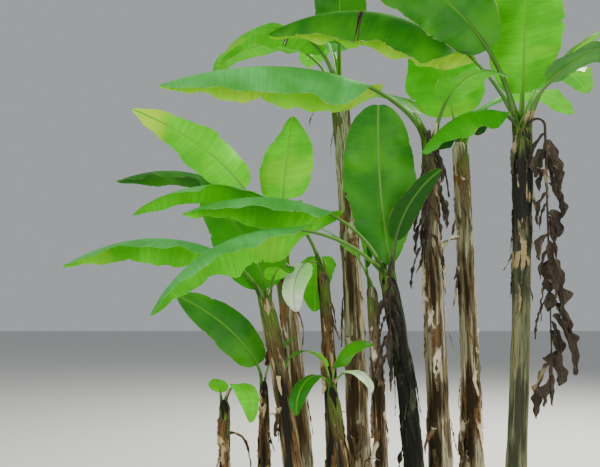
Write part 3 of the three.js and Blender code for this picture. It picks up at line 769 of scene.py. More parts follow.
def to_place(shoot, leaf, points):
    """Turns a leaf's points by its azimuth and sets its foot on the crown's rim. The foot's middle
    stands half its own depth off the rib's line, as the solid's level cut does."""
    edge = min((leaf.petiole + leaf.blade) * LEAF_THICKNESS, leaf.stalk * 0.6) * MM
    depth = edge + RIB_DEPTH * leaf.stalk * MM
    shift = 0 if leaf.petiole == 0 else depth / (2 * math.sin(math.radians(leaf.rise)))
    a = math.radians(leaf.azimuth)
    x, y, z = points[..., 0] - shift, points[..., 1], points[..., 2]
    top = stem_axis(shoot, np.array([1.0]))[0] + seat_offset(shoot, leaf)
    return np.stack([top[0] + x * math.cos(a) - y * math.sin(a),
                     top[1] + x * math.sin(a) + y * math.cos(a), top[2] + z], -1)


def seat_offset(shoot, leaf):
    """From the middle of the crown to the foot of a stalk."""
    if leaf.seat is None:
        return np.array([0, 0, CLEARANCE * MM])
    reach = stem_radius(shoot, np.array([1.0]))[0] - (leaf.stalk + CROWN_MARGIN) * MM
    a = math.radians(leaf.seat)
    return np.array([reach * math.cos(a), reach * math.sin(a), CLEARANCE * MM])


def seat_twist(leaf, u):
    """How far the stalk is turned about itself, so that its back faces out of the crown at its foot
    and the right way from a little over half way up."""
    if leaf.seat is None or leaf.petiole == 0:
        return np.zeros_like(u)
    turn = math.radians((leaf.seat - leaf.azimuth + 180) % 360 - 180)
    walked = u * (leaf.petiole + leaf.blade) / leaf.petiole
    return turn * (1 - smoothstep(walked, 0.0, 0.55))


def stalk_section(gutter):
    """The ring of a stalk in its own radius, one row for each depth of the gutter: a half round
    back of depth 1.2, and a top that follows 0.9 x^2 (1 - x^2) less the gutter times
    (1 - x^2)^2."""
    half = STALK_SIDES // 2
    back = np.linspace(math.pi, 2 * math.pi, half + 1)
    top = np.linspace(1, -1, half + 1)[1:-1]
    x = np.concatenate([np.cos(back), top])
    hollow = 1 - top ** 2
    lift = 0.9 * top ** 2 * hollow - gutter[:, None] * hollow ** 2
    low = np.broadcast_to(RIB_DEPTH * np.sin(back), (len(gutter), half + 1))
    return np.broadcast_to(x, (len(gutter), len(x))), np.concatenate([low, lift], 1)


def stalk_surface(shoot, leaf):
    """The stalk and rib from a little inside the crown to the tip: its section carried along the
    rib's line, with a gutter above that closes half way along the blade."""
    length = (leaf.petiole + leaf.blade) * MM
    u = np.unique(np.concatenate([np.linspace(0, 1, max(24, int(length / STALK_STATION))),
                                  np.linspace(0, 0.12, 12)]))
    u = u[u <= 1 - 0.006 / length]
    point, tangent, left, up = rib_line(leaf, u)
    left, up = turned(left, up, -seat_twist(leaf, u))
    t = (u * length - leaf.petiole * MM) / (leaf.blade * MM)
    x, y = stalk_section(lerp(0.85, -0.1, smoothstep(t, -0.4, 0.6)))
    r = stalk_radius(leaf, u)[:, None]
    x, y = x * r, y * r
    rings = beside(point, left, up, x, y)
    rings = np.concatenate([rings[:1] - tangent[0] * STALK_SUNK, rings])
    grain = spread_out(x, y, (u * length)[:, None])
    sunk = spread_out(x[:1], y[:1], -STALK_SUNK)
    return skin(to_place(shoot, leaf, rings), np.concatenate([sunk, grain]), STALK)


def torn_share(leaf, t, side):
    """1 where the half blade is whole, falling straight to TEAR_ROOT in the middle of a tear."""
    share = np.ones_like(t)
    for where, torn_side in leaf.tears:
        if torn_side == side:
            apart = np.abs(t - where) * leaf.blade / TEAR_HALF_WIDTH
            share = np.minimum(share, lerp(TEAR_ROOT, 1, np.minimum(apart, 1)))
    return share


def nicked(rng, along):
    """The share of a half blade's width that its small tears leave: 1 less a peak at each."""
    taken = np.zeros_like(along)
    for place in rng.uniform(0.1, 0.95, int(NICKS * along[-1])) * along[-1]:
        peak = np.clip(1 - np.abs(along - place) / NICK_HALF_WIDTH, 0, 1)
        taken = np.maximum(taken, rng.uniform(*NICK_DEPTH) * peak)
    return 1 - taken


def blade_stations(leaf, options):
    """Shares of the blade's length, close together at both ends, with three more for each tear."""
    count = max(30, int(leaf.blade * MM / options.station))
    x = np.linspace(0, 1, count)
    t = lerp(x, (1 - np.cos(math.pi * x)) / 2, 0.45)
    t = t[t < 1 - 4 / leaf.blade]
    nick = TEAR_HALF_WIDTH / leaf.blade
    cuts = np.array([where + k * nick for where, _ in leaf.tears for k in (-1, 0, 1)])
    if len(cuts):
        t = t[np.abs(t[:, None] - cuts[None]).min(1) > 0.3 * nick]
    return np.sort(np.concatenate([t, cuts]))


def half_blade(shoot, key, leaf, side, options):
    """One half of a blade as a thin closed skin on the grid (t, q), t along and q from rib to edge.
    Its section turns from a short lift beside the rib to the fold times (1 - droop/2 + droop q), so
    it hangs more steeply outwards. The edge swings in waves that grow as q^2, and shallow pleats
    follow the veins, which lean towards the tip by 0.1 a + 0.3 a^2 at the distance a from the
    rib."""
    rng = seeded(f"{key}{leaf.name}{side}")
    t = blade_stations(leaf, options)
    q = np.linspace(0, 1, HALF_BLADE_COLUMNS + 1)
    length = leaf.petiole + leaf.blade
    u = (leaf.petiole + t * leaf.blade) / length
    point, _, left, up = rib_line(leaf, u)
    rib = rib_radius(leaf, u)
    along = t * leaf.blade * MM
    wide = leaf.width / 2 * MM * outline(leaf.shape, t) * torn_share(leaf, t, side)
    uneven = wobble(rng, 0.09, 0.006, along) + wobble(rng, 0.34, 0.034, along)
    wide = np.maximum(wide * (1 + uneven) * nicked(rng, along), rib * 1.02)
    inner = rib * 0.55
    a = inner[:, None] + q[None] * (wide - inner)[:, None]
    fold = np.radians(leaf.fold) * smoothstep(t, *FOLD_STRETCH)
    hang = -math.radians(BLADE_HANG) * smoothstep(t, *FOLD_STRETCH)
    slope = (fold[:, None] + hang[:, None]) * (1 - options.droop / 2 + options.droop * q[None]) \
        + math.radians(RIB_LIFT) * np.exp(-(a - inner[:, None]) / RIB_LIFT_REACH)
    slope = np.maximum(slope, -math.radians(STEEPEST_BLADE))
    step = np.diff(a, axis=1)
    middle = (slope[:, 1:] + slope[:, :-1]) / 2
    inner = inner[:, None]
    across = np.concatenate([inner, np.cumsum(np.cos(middle) * step, 1) + inner], 1)
    height = np.concatenate([np.zeros_like(inner), np.cumsum(np.sin(middle) * step, 1)], 1)
    vein = along[:, None] - VEIN_LEAN[0] * a - VEIN_LEAN[1] * a ** 2
    size = min(1, leaf.width / FULL_WAVE_WIDTH)
    swing = wobble(rng, 0.55, options.wave, along) + wobble(rng, 0.24, options.wave * 0.28, along)
    ends = smoothstep(t, 0, 0.12) * (1 - 0.6 * smoothstep(t, 0.8, 1))
    height += (swing * ends * size)[:, None] * q[None] ** 2
    phase = wobble(rng, 0.3, 1.5, along)[:, None]
    height += options.pleat * np.sin(vein * 2 * math.pi / PLEAT_SPACING + phase) \
        * smoothstep(q[None], 0.04, 0.3) * (1 - 0.8 * smoothstep(q[None], 0.7, 1))
    height += ripple(rng, 0.16, 0.0026, vein, a) * smoothstep(q[None], 0.1, 0.6)
    thick = lerp(options.thickness, EDGE_THICKNESS, q[None] ** 0.7)
    upper = beside(point, left, up, side * across, height)
    lower = upper - up[:, None] * np.broadcast_to(thick, height.shape)[..., None]
    grain = spread_out(vein, side * a, q[None])
    faces = np.repeat([UPPER, UNDER], HALF_BLADE_COLUMNS + 1)
    finish = np.where(beside_tear(leaf, t, side)[:, None], TORN, faces)
    return thin_skin(to_place(shoot, leaf, upper), to_place(shoot, leaf, lower), grain, finish)


def beside_tear(leaf, t, side):
    """Which rows of faces lie beside a tear of that half, where the blade has died."""
    middle = (t[:-1] + t[1:]) / 2
    near = [np.abs(middle - where) * leaf.blade < TORN_REACH
            for where, torn_side in leaf.tears if torn_side == side]
    return np.any([np.zeros_like(middle, bool), *near], 0)


def sheath_surface(shoot, key, leaf, layer):
    """The leaf's base, which wraps the stem below its stalk. On the grid (d, b), d the distance
    down from the crown and b from -1 to 1 across: above the crown it lies on the stalk's back, and
    below it runs from there to an arc about the stem's axis at seat + b * half, where half grows
    from the stalk's width to about a quarter turn. It thins to its edges and sinks into the stem at
    its end."""
    rng = seeded(f"sheath{key}{leaf.name}")
    tall = shoot.height * MM
    length = (leaf.petiole + leaf.blade) * MM
    above = min(SHEATH_ABOVE, 0.6 * leaf.petiole * MM)
    down = min(rng.uniform(*SHEATH_DOWN), 0.6 * tall)
    d = np.linspace(-above, down, SHEATH_ROWS)
    b = np.linspace(-1, 1, SHEATH_COLUMNS)
    below = np.maximum(d, 0)
    s = 1 - below / tall
    axis, radius = stem_axis(shoot, s), stem_radius(shoot, s)
    widest = math.radians(rng.uniform(*SHEATH_HALF_ANGLE))
    half = lerp(leaf.stalk * MM / radius[0], widest, smoothstep(below, 0.0, 0.26))
    half = half + wobble(rng, 0.2, 0.06, d) * smoothstep(below, 0.05, 0.2)
    sunk = smoothstep(below, down * 0.55, down)
    off = (0.0025 + 0.0032 * layer) * (1 - sunk) - 0.006 * sunk
    turn = math.radians(leaf.seat) + b[None] * half[:, None]
    rim = (1 - np.abs(b) ** 3)[None]
    outer_r = (radius + off)[:, None] + 0.0012 * np.sin(turn * 31) * rim \
        + 0.004 * rim * (1 - sunk)[:, None]
    thick = lerp(0.0016, 0.006, rim)
    height = (axis[0, 2] - d)[:, None]
    u = np.maximum(-d, 0) / length
    point, _, left, up = rib_line(leaf, u)
    left, up = turned(left, up, -seat_twist(leaf, u))
    round_back = b * SHEATH_WRAP

    def on_stalk(size):
        """A half round on the stalk's back, of the stalk's own section made larger by size."""
        r = (stalk_radius(leaf, u) * size)[:, None]
        ring = beside(point, left, up, np.sin(round_back) * r, -RIB_DEPTH * np.cos(round_back) * r)
        return to_place(shoot, leaf, ring) - below[:, None, None] * UP

    to_sheath = smoothstep(d, -0.03, 0.13)[:, None, None]
    fits = lerp(0.97, 1.09, smoothstep(d, -above, -0.5 * above))
    outer = lerp(on_stalk(fits), about(axis, outer_r, turn, height), to_sheath)
    inner = lerp(on_stalk(0.85 * fits), about(axis, outer_r - thick, turn, height), to_sheath)
    grain = spread_out(b[None] * half[:, None] * radius[:, None], 0, d[:, None])
    return thin_skin(outer, inner, grain, SHEATH)


def dead_surfaces(shoot, key, leaf):
    """A dead leaf: a bare stalk that hooks over and hangs, with flaps of torn blade along it. A
    flap leaves the stalk at its own place and way, falls as its climb runs from -35 to -86 degrees,
    and is folded along its middle and crumpled across."""
    rng = seeded("dead" + key)
    u = np.linspace(0, DEAD_END, 90)
    point, _, left, up = rib_line(leaf, u)
    length = leaf.blade * MM
    x, y = stalk_section(np.full(len(u), 0.5))
    thin = (leaf.stalk * MM * lerp(0.95, 0.3, u))[:, None]
    x, y = x * thin, y * thin
    stalk = beside(point, left, up, x, y)
    made = [skin(to_place(shoot, leaf, stalk), spread_out(x, y, (u * length)[:, None]))]
    share, b = np.linspace(0, 1, 30), np.linspace(-1, 1, 13)[None]
    count = int(DEAD_FLAPS * length)
    for number in range(count):
        size = rng.uniform(*DEAD_FLAP_LENGTH)
        start = lerp(leaf.hook * 1.1 / DEAD_END, 1, (number + rng.random()) / count)
        place = int((len(u) - 1) * start)
        out, level = compass(rng.uniform(0, 2 * math.pi))
        climb = np.radians(DEAD_FLAP_CLIMB[0] - DEAD_FLAP_CLIMB[1] * share ** 0.45)
        step = size / (len(share) - 1)
        run = np.cumsum(np.cos(climb)) * step
        fall = np.cumsum(np.sin(climb)) * step
        line = point[place] + out * run[:, None] + UP * fall[:, None]
        lift = out * -np.sin(climb)[:, None] + UP * np.cos(climb)[:, None]
        twist = wobble(rng, 0.5, 0.5, share * size) + rng.uniform(-0.5, 0.5)
        across, lift = turned(level, lift, twist)
        profile = np.sin(math.pi * np.clip(share ** 0.8 * 0.95 + 0.03, 0, 1)) ** 0.7
        fray = 1 + wobble(rng, 0.12, 0.22, share * size)
        broad = leaf.width * MM / 2 * rng.uniform(*DEAD_FLAP_WIDTH) \
            * (1 if number % 3 else DEAD_FLAP_NARROW)
        half = np.maximum(max(0.012, broad) * profile * fray, 0.002)
        folded = rng.uniform(0.2, 1.0) * np.abs(b) * half[:, None]
        crumple = folded + ripple(rng, 0.07, 0.006, share[:, None] * size, b * 0.05)
        strip = ribbon(line, across, lift, half * 0.85, DEAD_FLAP_THICKNESS, crumple, 0)
        strip.points = to_place(shoot, leaf, strip.points)
        made.append(strip)
    return made


# Rootstock.

def rootstock_surfaces(key, shoot):
    """A low dome of rootstock round a stem's foot: a disc of rings whose height falls from the
    middle as (1 - r^2)^0.45, with lumps and the rings of old leaf scars. A ridge of the same kind
    runs to the shoot that it budded from."""
    rng = seeded("root" + key)
    high = ROOTSTOCK_HEIGHT * MM
    wide = (shoot.radius[0] * 1.5 + LOBE_MARGIN) * MM
    centre = np.array([*shoot.foot, 0]) * MM
    angle = np.linspace(0, 2 * math.pi, 84, endpoint=False)
    share = np.concatenate([np.linspace(1, 0.93, 4), np.linspace(0.9, 0.02, 26)])
    around, r = np.meshgrid(angle, share)
    x, y = np.cos(around) * r, np.sin(around) * r
    lump = ripple(rng, 0.5, 0.05, x, y)
    z = high * (1 - r ** 2) ** 0.45 * (0.93 + lump) + 0.003 * np.sin(r * 60 + 2 * lump) * (r < 0.92)
    z[0] = 0
    out = wide * (0.965 + 0.4 * lump * r)
    rings = np.stack([centre[0] + x * out, centre[1] + y * out, np.maximum(z, 0)], -1)
    surfaces = [skin(rings, rings)]
    if shoot.parent:
        start, end = np.array([*SHOOTS[shoot.parent].foot, 0]) * MM, centre
        way = (end - start) / np.linalg.norm(end - start)
        level = np.array([-way[1], way[0], 0])
        run = np.linspace(0, 1, 50)
        half = (shoot.radius[0] + RIDGE_MARGIN) * MM * (0.95 + wobble(rng, 0.3, 0.05, run))
        turn = np.linspace(0, math.pi, 40)[None]
        uneven = (0.97 + wobble(rng, 0.3, 0.03, run))[:, None]
        tall = high * RIDGE_HEIGHT * uneven * np.sin(turn) ** 0.8
        lumps = ripple(rng, 0.2, 0.004, run[:, None], turn * 0.2) * np.sin(turn)
        tall = np.maximum(tall + lumps, 0)
        across = np.cos(turn) * half[:, None]
        line = start + (end - start) * run[:, None]
        ring = line[:, None] + level * across[..., None] + UP * tall[..., None]
        surfaces.append(skin(ring, ring))
    return surfaces


# Finishes.

class Recipe:
    """One material: adds nodes by kind, fills their sockets with values or links, and keeps the
    shader at the end."""

    def __init__(self, name):
        self.material = bpy.data.materials.new(name)
        self.material.use_nodes = True
        self.tree = self.material.node_tree
        self.shader = self.tree.nodes["Principled BSDF"]

    def fill(self, node, inputs):
        """Links or sets each of a node's sockets."""
        for socket, value in inputs.items():
            if isinstance(value, bpy.types.NodeSocket):
                self.tree.links.new(value, node.inputs[socket])
            else:
                node.inputs[socket].default_value = value

    def node(self, kind, inputs, **options):
        """A new node with its sockets and options."""
        made = self.tree.nodes.new("ShaderNode" + kind)
        for option, value in options.items():
            setattr(made, option, value)
        self.fill(made, inputs)
        return made

    def grain(self):
        """The place on the surface: for a blade, along a vein, across and share to the edge."""
        return self.node("Attribute", {}, attribute_name="grain").outputs["Vector"]

    def place(self):
        """The place in the clump."""
        return self.node("TexCoord", {}).outputs["Object"]

    def axes(self, vector):
        """The X, Y and Z of a vector."""
        return self.node("SeparateXYZ", {"Vector": vector}).outputs

    def noise(self, vector, scale, detail=3, roughness=0.5):
        """Noise whose features are 1 / scale metres along each axis of the vector."""
        stretched = self.node("Mapping", {"Vector": vector, "Scale": scale}).outputs["Vector"]
        inputs = {"Vector": stretched, "Scale": 1, "Detail": detail, "Roughness": roughness}
        return self.node("TexNoise", inputs).outputs["Fac"]

    def spread(self, value, low, high, to_low=0, to_high=1):
        """A value's range brought to another range, clamped and eased at both ends."""
        inputs = {"Value": value, "From Min": low, "From Max": high,
                  "To Min": to_low, "To Max": to_high}
        return self.node("MapRange", inputs, interpolation_type="SMOOTHSTEP").outputs["Result"]

    def math(self, operation, a, b):
        """Two values added, multiplied and so on."""
        return self.node("Math", {0: a, 1: b}, operation=operation).outputs["Value"]

    def mix(self, factor, first, second):
        """The first colour where the factor is 0, and the second where it is 1."""
        made = self.node("Mix", {"Factor": factor}, data_type="RGBA")
        for socket, colour in ((6, first), (7, second)):
            given = isinstance(colour, bpy.types.NodeSocket)
            self.fill(made, {socket: colour if given else (*colour, 1)})
        return made.outputs[2]

    def veil(self, mask, share, first, second):
        """The first colour, with that share of the second over it where the mask is 1."""
        return self.mix(self.math("MULTIPLY", mask, share), first, second)

    def sway(self, value, streaks, share):
        """A value moved up and down by that share of the streaks' own swing about a half."""
        swing = self.math("SUBTRACT", streaks, 0.5)
        return self.math("ADD", value, self.math("MULTIPLY", swing, share))

    def bump(self, height, distance, strength):
        """The normal that a height gives."""
        inputs = {"Height": height, "Distance": distance, "Strength": strength}
        return self.node("Bump", inputs).outputs["Normal"]

    def finish(self, colour, roughness, normal, **constants):
        """The shader filled with them, and the material."""
        self.fill(self.shader, {"Base Color": colour, "Roughness": roughness, "Normal": normal})
        self.fill(self.shader, {name.replace("_", " "): value for name, value in constants.items()})
        return self.material


def shade(colour, factor):
    """A colour made lighter or darker."""
    return tuple(min(1, c * factor) for c in colour)


def blend(first, second, share):
    """A colour on the way from the first to the second."""
    return lerp(np.array(first), np.array(second), share)


def blade_finish(name, colour, towards, gloss, sunny, options, colours, lit_from):
    """A blade's face: side veins as fine lighter and darker lines, faint strands, broad mottling
    towards a second colour, a thin pale run beside the rib and a dry thread along the edge. sunny
    is how strongly it carries patches of the yellow of a blade with the sun behind it, and
    lit_from, if it isn't None, the distance from the base from which all of it has that yellow."""
    r = Recipe(name)
    grain = r.grain()
    along, across, edge = r.axes(grain)
    lines = r.spread(r.noise(grain, (1 / options.vein, 3.0, 0), detail=2), 0.38, 0.64)
    strands = r.spread(r.noise(grain, (24, 1.2, 0), detail=2), 0.35, 0.68)
    mottle = r.spread(r.noise(r.place(), (2.6, 2.6, 2.6), detail=2), 0.38, 0.66)
    plain = r.mix(lines, shade(colour, 0.90), shade(colour, 1.08))
    banded = r.veil(strands, 0.36, plain, shade(colour, 0.70))
    varied = r.veil(mottle, 0.6, banded, towards)
    if sunny:
        patch = r.spread(r.noise(r.place(), (1.7, 1.7, 2.3), detail=2), 0.56, 0.66)
        varied = r.veil(patch, sunny, varied, colours.lit)
    if lit_from is not None:
        ragged = r.math("ADD", along, r.math("MULTIPLY", mottle, 0.12))
        varied = r.mix(r.spread(ragged, lit_from, lit_from + 0.3), varied, colours.lit)
    off_rib = r.spread(r.math("ABSOLUTE", across, 0), 0.005, 0.013)
    ribbed = r.mix(off_rib, blend(colour, colours.rib, 0.4), varied)
    thread = r.spread(edge, 0.978, 1.0)
    dry = r.math("MULTIPLY", thread, r.spread(r.noise(grain, (9, 0, 0)), 0.42, 0.62))
    final = r.mix(dry, ribbed, colours.straw)
    roughness = r.spread(lines, 0, 1, gloss, gloss + 0.10)
    return r.finish(final, roughness, r.bump(lines, 0.0005, 0.45),
                    Specular_IOR_Level=0.5 - 0.7 * gloss)


def stalk_finish(name, light, colours):
    """A stalk or rib: pale above, with painted shade darkening its back, and fine streaks along it.
    light scales its colours, lower as painted shade under some blades."""
    r = Recipe(name)
    grain = r.grain()
    depth = r.axes(grain)["Y"]
    streaks = r.spread(r.noise(grain, (260, 260, 4), detail=3), 0.32, 0.68)
    pale = shade(colours.rib, light)
    # Painted shade: the back of the stalk takes the shaded stalk colour.
    green = r.mix(r.spread(depth, -0.014, 0.0), shade(colours.stalk_dark, light), pale)
    streaked = r.veil(streaks, 0.4, green, shade(pale, 1.1))
    scars = r.spread(r.noise(grain, (60, 60, 9), detail=4), 0.60, 0.70)
    final = r.veil(scars, 0.35, streaked, colours.bark)
    return r.finish(final, r.spread(streaks, 0, 1, 0.36, 0.5), r.bump(streaks, 0.0008, 0.7),
                    Specular_IOR_Level=0.5)


def patchy(r, stops):
    """The middle colour of a stem, with broad patches of the fourth."""
    broad = r.noise(r.place(), (6, 6, 2), detail=4)
    return r.mix(r.spread(broad, 0.48, 0.60), stops[1], stops[3])


def sheath_finish(name, stops, green_down, colours):
    """A sheath from its stalk down: stalk green, then olive, then the stem's own dry colours along
    wandering streaks, with its light colour in a few patches, which on the light and tan stems is
    partly painted sunlight."""
    r = Recipe(name)
    grain = r.grain()
    streaks = r.noise(grain, (70, 1, 2.2), detail=6, roughness=0.65)
    fine = r.noise(grain, (420, 1, 9), detail=3)
    age = r.sway(r.axes(grain)["Z"], streaks, 0.9)
    patches = r.noise(grain, (26, 1, 4.5), detail=5)
    olive = blend(colours.rib, colours.bark, 0.6)
    living = r.mix(r.spread(age, -0.10, 0.12), shade(colours.stalk_dark, 1.5), olive)
    old = r.mix(r.spread(age, green_down, green_down + 0.25), living, patchy(r, stops))
    # Patches of the light colour: pale dry sheath, with painted sunlight on the light and tan
    # stems.
    worn = r.mix(r.spread(patches, 0.58, 0.64), old, stops[2])
    final = r.mix(r.spread(fine, 0.44, 0.62, 0, 0.8), worn, stops[0])
    return r.finish(final, r.spread(streaks, 0.3, 0.7, 0.6, 0.9), r.bump(fine, 0.002, 0.9),
                    Specular_IOR_Level=DRY_GLOSS)


def bark_finish(name, stops, green, colours, old_from):
    """Dry sheaths on a stem: long streaks through three colours, patches that shift them, dark
    threads between the fibres, and, where green is over 0, living sheath that shows through. From
    the height old_from up, if it isn't None, dark old sheaths hide it."""
    r = Recipe(name)
    grain = r.grain()
    streaks = r.noise(grain, (30, 30, 0.9), detail=7, roughness=0.62)
    patches = r.noise(grain, (7, 7, 1.5), detail=4)
    fine = r.noise(grain, (130, 130, 3.5), detail=5, roughness=0.6)
    level = r.sway(streaks, patches, 1.1)
    low = r.mix(r.spread(level, 0.40, 0.50), stops[0], patchy(r, stops))
    # The light colour, which on the light and tan stems is partly painted sunlight.
    high = r.mix(r.spread(level, 0.54, 0.59), low, stops[2])
    final = r.veil(r.spread(patches, 0.40, 0.58), green, high, colours.smooth)
    if old_from is not None:
        height = r.math("ADD", r.axes(grain)["Z"], r.math("MULTIPLY", streaks, 0.9))
        worn = r.mix(r.spread(level, 0.54, 0.68), shade(colours.dark, 0.7),
                     shade(colours.straw, 0.5))
        final = r.mix(r.spread(height, old_from + 0.3, old_from + 0.7), final, worn)
    final = r.mix(r.spread(fine, 0.48, 0.62, 0, 0.8), final, shade(stops[0], 0.7))
    height = r.math("ADD", fine, r.math("MULTIPLY", streaks, 1.5))
    return r.finish(final, r.spread(streaks, 0.3, 0.7, 0.65, 0.95), r.bump(height, 0.003, 0.9),
                    Specular_IOR_Level=DRY_GLOSS)


def flap_finish(name, stops):
    """Strips that peel off a stem: its own dry colours in long threads, dark within the folds."""
    r = Recipe(name)
    grain = r.grain()
    threads = r.noise(grain, (110, 110, 4), detail=5, roughness=0.6)
    blotch = r.noise(r.place(), (7, 7, 4), detail=3)
    plain = r.mix(r.spread(threads, 0.34, 0.62), stops[0], patchy(r, stops))
    # Blotches of the light colour, which on the light and tan stems is partly painted sunlight.
    final = r.mix(r.spread(blotch, 0.50, 0.60), plain, stops[2])
    return r.finish(final, r.spread(threads, 0.3, 0.7, 0.65, 0.9), r.bump(threads, 0.0015, 0.8),
                    Specular_IOR_Level=DRY_GLOSS)


def dry_finish(name, colours):
    """Dead blade: brown with paler threads and dark folds."""
    r = Recipe(name)
    grain = r.grain()
    colour = colours.dead
    threads = r.noise(grain, (90, 90, 5), detail=5, roughness=0.6)
    blotch = r.noise(r.place(), (9, 9, 4), detail=4)
    plain = r.mix(r.spread(threads, 0.36, 0.66), shade(colour, 0.35), shade(colour, 1.15))
    worn = r.mix(r.spread(blotch, 0.30, 0.50), shade(colour, 0.30), plain)
    final = r.mix(r.spread(blotch, 0.60, 0.72), worn, shade(colours.straw, 0.55))
    return r.finish(final, r.spread(threads, 0.3, 0.7, 0.7, 0.95), r.bump(threads, 0.002, 0.8),
                    Specular_IOR_Level=0.2)


def earth_finish(name, colours):
    """Rootstock: earthy brown with darker hollows and lighter scales."""
    r = Recipe(name)
    place = r.place()
    lumps = r.noise(place, (14, 14, 26), detail=7, roughness=0.65)
    final = r.mix(r.spread(lumps, 0.32, 0.66), shade(colours.earth, 0.45),
                  shade(colours.earth, 1.5))
    return r.finish(final, r.spread(lumps, 0.3, 0.7, 0.8, 0.97), r.bump(lumps, 0.008, 0.9))


def dry_stops(tone, c):
    """The dark, middle and light colours of a stem's dry sheaths, and the one of its patches. The
    light colour of the light and tan stems is pale dry sheath with painted sunlight on it.
    """
    return {"brown": (shade(c.dark, 0.8), c.bark, shade(c.straw, 1.1), shade(c.rust, 0.7)),
            "light": (shade(c.bark, 0.25), shade(c.straw, 0.34), c.bleached_and_sunlit, shade(c.rust, 0.8)),
            "tan": (shade(c.bark, 0.5), shade(c.straw, 0.38), shade(c.bleached_and_sunlit, 0.85), c.rust),
            "dark": (shade(c.dark, 0.3), shade(c.dark, 0.8), shade(c.smooth, 0.3),
                     shade(c.dark, 0.5)),
            "old": (shade(c.dark, 0.4), shade(c.dark, 1.3), shade(c.straw, 0.8),
                    shade(c.dark, 0.7)),
            "smooth": (shade(c.smooth, 0.22), shade(c.smooth, 0.6), shade(c.straw, 0.6),
                       shade(c.smooth, 0.4))}[tone]


def blade_colours(tone, c):
    """A blade's colour, the colour that it drifts towards, its roughness and how sunny it is."""
    return {"fresh": (c.fresh, shade(c.green, 1.8), 0.50, 0.25),
            "tipped": (c.fresh, shade(c.green, 1.8), 0.50, 0.25),
            "lit": (c.lit, c.fresh, 0.50, 0),
            # This tone is the grown green made lighter as painted light, for blades that stand in
            # more light than others.
            "mid": (shade(c.green, 1.9), shade(c.fresh, 0.6), 0.44, 0),
            "green": (c.green, shade(c.fresh, 0.5), 0.40, 0),
            "deep": (c.deep, shade(c.green, 0.5), 0.48, 0),
            "blue": (c.blue, shade(c.green, 1.6), 0.33, 0),
            "pale": (c.pale, shade(c.fresh, 1.4), 0.25, 0)}[tone]


def finish_named(name):
    """The material of that name, made the first time that it is asked for."""
    made = bpy.data.materials.get(name)
    if made:
        return made
    _, options, c, _ = settings()
    kind, _, tone = name.partition("_")
    if kind == "blade":
        return blade_finish(name, *blade_colours(tone, c), options, c, LIT_FROM.get(tone))
    if kind == "stalk":
        return stalk_finish(name, STALK_LIGHT.get(tone, 1), c)
    if kind == "bark":
        return bark_finish(name, dry_stops(tone, c), LIVING[tone], c, OLD_FROM.get(tone))
    if kind == "sheath":
        stops = dry_stops("old" if tone in OLD_FROM else tone, c)
        return sheath_finish(name, stops, GREEN_DOWN[tone], c)
    if kind == "flap":
        return flap_finish(name, dry_stops(tone, c))
    return {"dry": dry_finish, "earth": earth_finish}[kind](name, c)


def bark_tone(key):
    """The bark of the stem with that key, and its slot."""
    return BARKS.get(key, ("brown", "sheath"))


class BANANA_OT_stems(bpy.types.Operator):
    """Builds the false stems with their bark and peeling strips."""

    bl_idname = "banana.stems"
    bl_label = "Build Stems"

    def execute(self, context):
        options = context.scene.banana_stems
        for key, shoot in SHOOTS.items():
            tone, slot = bark_tone(key)
            rng = seeded("tatters" + key)
            span = SHAGGY.get(key, STRIPS_BETWEEN)
            tall = shoot.height * MM
            strips = [flap(rng, shoot, *span) for _ in range(int(options.flaps * tall))]
            strips += [tatter(rng, shoot, *span) for _ in range(int(options.tatters * tall))]
            add_piece(f"bark_{key}", [stem_surface(key, shoot, options), *strips],
                      [f"bark_{tone}", f"flap_{tone}"], [f"stem_{key}"])
        return {"FINISHED"}


class BANANA_OT_leaves(bpy.types.Operator):
    """Builds each living leaf: sheath, stalk, rib and the two halves of its blade."""

    bl_idname = "banana.leaves"
    bl_label = "Build Leaves"

    def execute(self, context):
        options = context.scene.banana_leaves
        for key, shoot in SHOOTS.items():
            ranked = sorted(LEAVES[key], key=lambda leaf: -leaf.rise)
            for leaf in LEAVES[key]:
                surfaces = [stalk_surface(shoot, leaf)]
                surfaces += [half_blade(shoot, key, leaf, side, options) for side in (1, -1)]
                if leaf.seat is not None:
                    surfaces.append(sheath_surface(shoot, key, leaf, ranked.index(leaf)))
                finishes = [f"blade_{leaf.upper}", f"blade_{leaf.under}", f"stalk_{leaf.under}",
                            f"sheath_{bark_tone(key)[0]}"] + ["dry"] * bool(leaf.tears)
                add_piece(f"frond_{key}_{leaf.name}", surfaces, finishes,
                          [f"leaf_{key}_{leaf.name}"])
        return {"FINISHED"}


class BANANA_OT_dead_leaves(bpy.types.Operator):
    """Builds the dead leaves that hang down beside the stems."""

    bl_idname = "banana.dead_leaves"
    bl_label = "Build Dead Leaves"

    def execute(self, context):
        for key, leaf in DEAD.items():
            add_piece(f"withered_{key}", dead_surfaces(SHOOTS[key], key, leaf), ["dry"],
                      [f"leaf_{key}_{leaf.name}"])
        return {"FINISHED"}


class BANANA_OT_rootstock(bpy.types.Operator):
    """Builds the rootstock that joins the stems."""

    bl_idname = "banana.rootstock"
    bl_label = "Build Rootstock"

    def execute(self, context):
        surfaces = [s for key, shoot in SHOOTS.items() for s in rootstock_surfaces(key, shoot)]
        add_piece("creeping_rootstock", surfaces, ["earth"], ["rootstock"])
        return {"FINISHED"}


def area_light(name, place, size, power, colour):
    """A square light that points from its place at the middle of the clump."""
    data = bpy.data.lights.new(name, "AREA")
    data.size, data.energy, data.color = size, power, colour
    lamp = bpy.data.objects.new(name, data)
    bpy.context.scene.collection.objects.link(lamp)
    lamp.location = place
    lamp.rotation_euler = (Vector(LIT_PLACE) - Vector(place)).to_track_quat("-Z", "Y").to_euler()


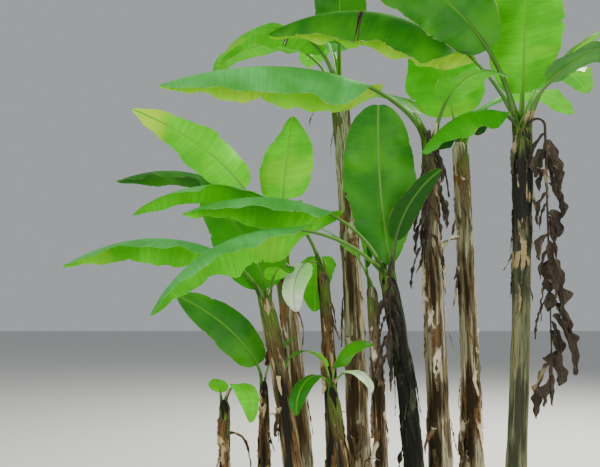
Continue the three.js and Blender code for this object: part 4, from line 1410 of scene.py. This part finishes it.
class BANANA_OT_stage(bpy.types.Operator):
    """Builds the floor, the lights and the camera."""

    bl_idname = "banana.stage"
    bl_label = "Build Stage"

    def execute(self, context):
        scene, options = context.scene, context.scene.banana_stage
        mesh = bpy.data.meshes.new("floor")
        mesh.from_pydata([(x * FLOOR_HALF, y * FLOOR_HALF, 0)
                          for x, y in ((-1, -1), (1, -1), (1, 1), (-1, 1))], [], [(0, 1, 2, 3)])
        floor = bpy.data.objects.new("floor", mesh)
        scene.collection.objects.link(floor)
        plain = Recipe("floor")
        plain.fill(plain.shader, {"Base Color": (*options.floor, 1), "Roughness": 0.9})
        mesh.materials.append(plain.material)
        for name, (place, size, power, share, colour) in LIGHTS.items():
            area_light(name, place, size, getattr(options, power) * share, colour)
        scene.world = bpy.data.worlds.new("sky")
        scene.world.use_nodes = True
        sky = scene.world.node_tree.nodes["Background"].inputs
        sky["Color"].default_value = SKY_COLOUR
        sky["Strength"].default_value = options.sky
        camera = bpy.data.cameras.new("camera")
        camera.lens, camera.sensor_width = options.lens, SENSOR
        seen = bpy.data.objects.new("camera", camera)
        seen.location = CAMERA
        seen.rotation_euler = (math.radians(90 + CAMERA_PITCH), 0, 0)
        scene.collection.objects.link(seen)
        scene.camera = seen
        return {"FINISHED"}


class BANANA_PT_panel(bpy.types.Panel):
    """Lists the steps and settings of the clump in the sidebar."""

    bl_idname = "BANANA_PT_panel"
    bl_label = "Banana Clump"
    bl_space_type = "VIEW_3D"
    bl_region_type = "UI"
    bl_category = "Banana"

    def draw(self, context):
        for step in STEPS:
            self.layout.operator(step.bl_idname)
        for group in settings():
            box = self.layout.box()
            for name in group.__annotations__:
                box.prop(group, name)


GROUPS = {"banana_stems": BananaStems, "banana_leaves": BananaLeaves,
          "banana_colours": BananaColours, "banana_stage": BananaStage}
STEPS = (BANANA_OT_stage, BANANA_OT_stems, BANANA_OT_leaves, BANANA_OT_dead_leaves,
         BANANA_OT_rootstock)
CLASSES = (*GROUPS.values(), *STEPS, BANANA_PT_panel)


def register():
    """Registers the classes and hangs the settings on the scene."""
    for cls in CLASSES:
        bpy.utils.register_class(cls)
    for name, group in GROUPS.items():
        setattr(bpy.types.Scene, name, PointerProperty(type=group))


def unregister():
    """Takes the settings and classes away again."""
    for name in GROUPS:
        delattr(bpy.types.Scene, name)
    for cls in reversed(CLASSES):
        bpy.utils.unregister_class(cls)


def main():
    register()
    bpy.ops.banana.stage()
    bpy.ops.banana.stems()
    bpy.ops.banana.leaves()
    bpy.ops.banana.dead_leaves()
    bpy.ops.banana.rootstock()


if __name__ == "__main__":
    main()
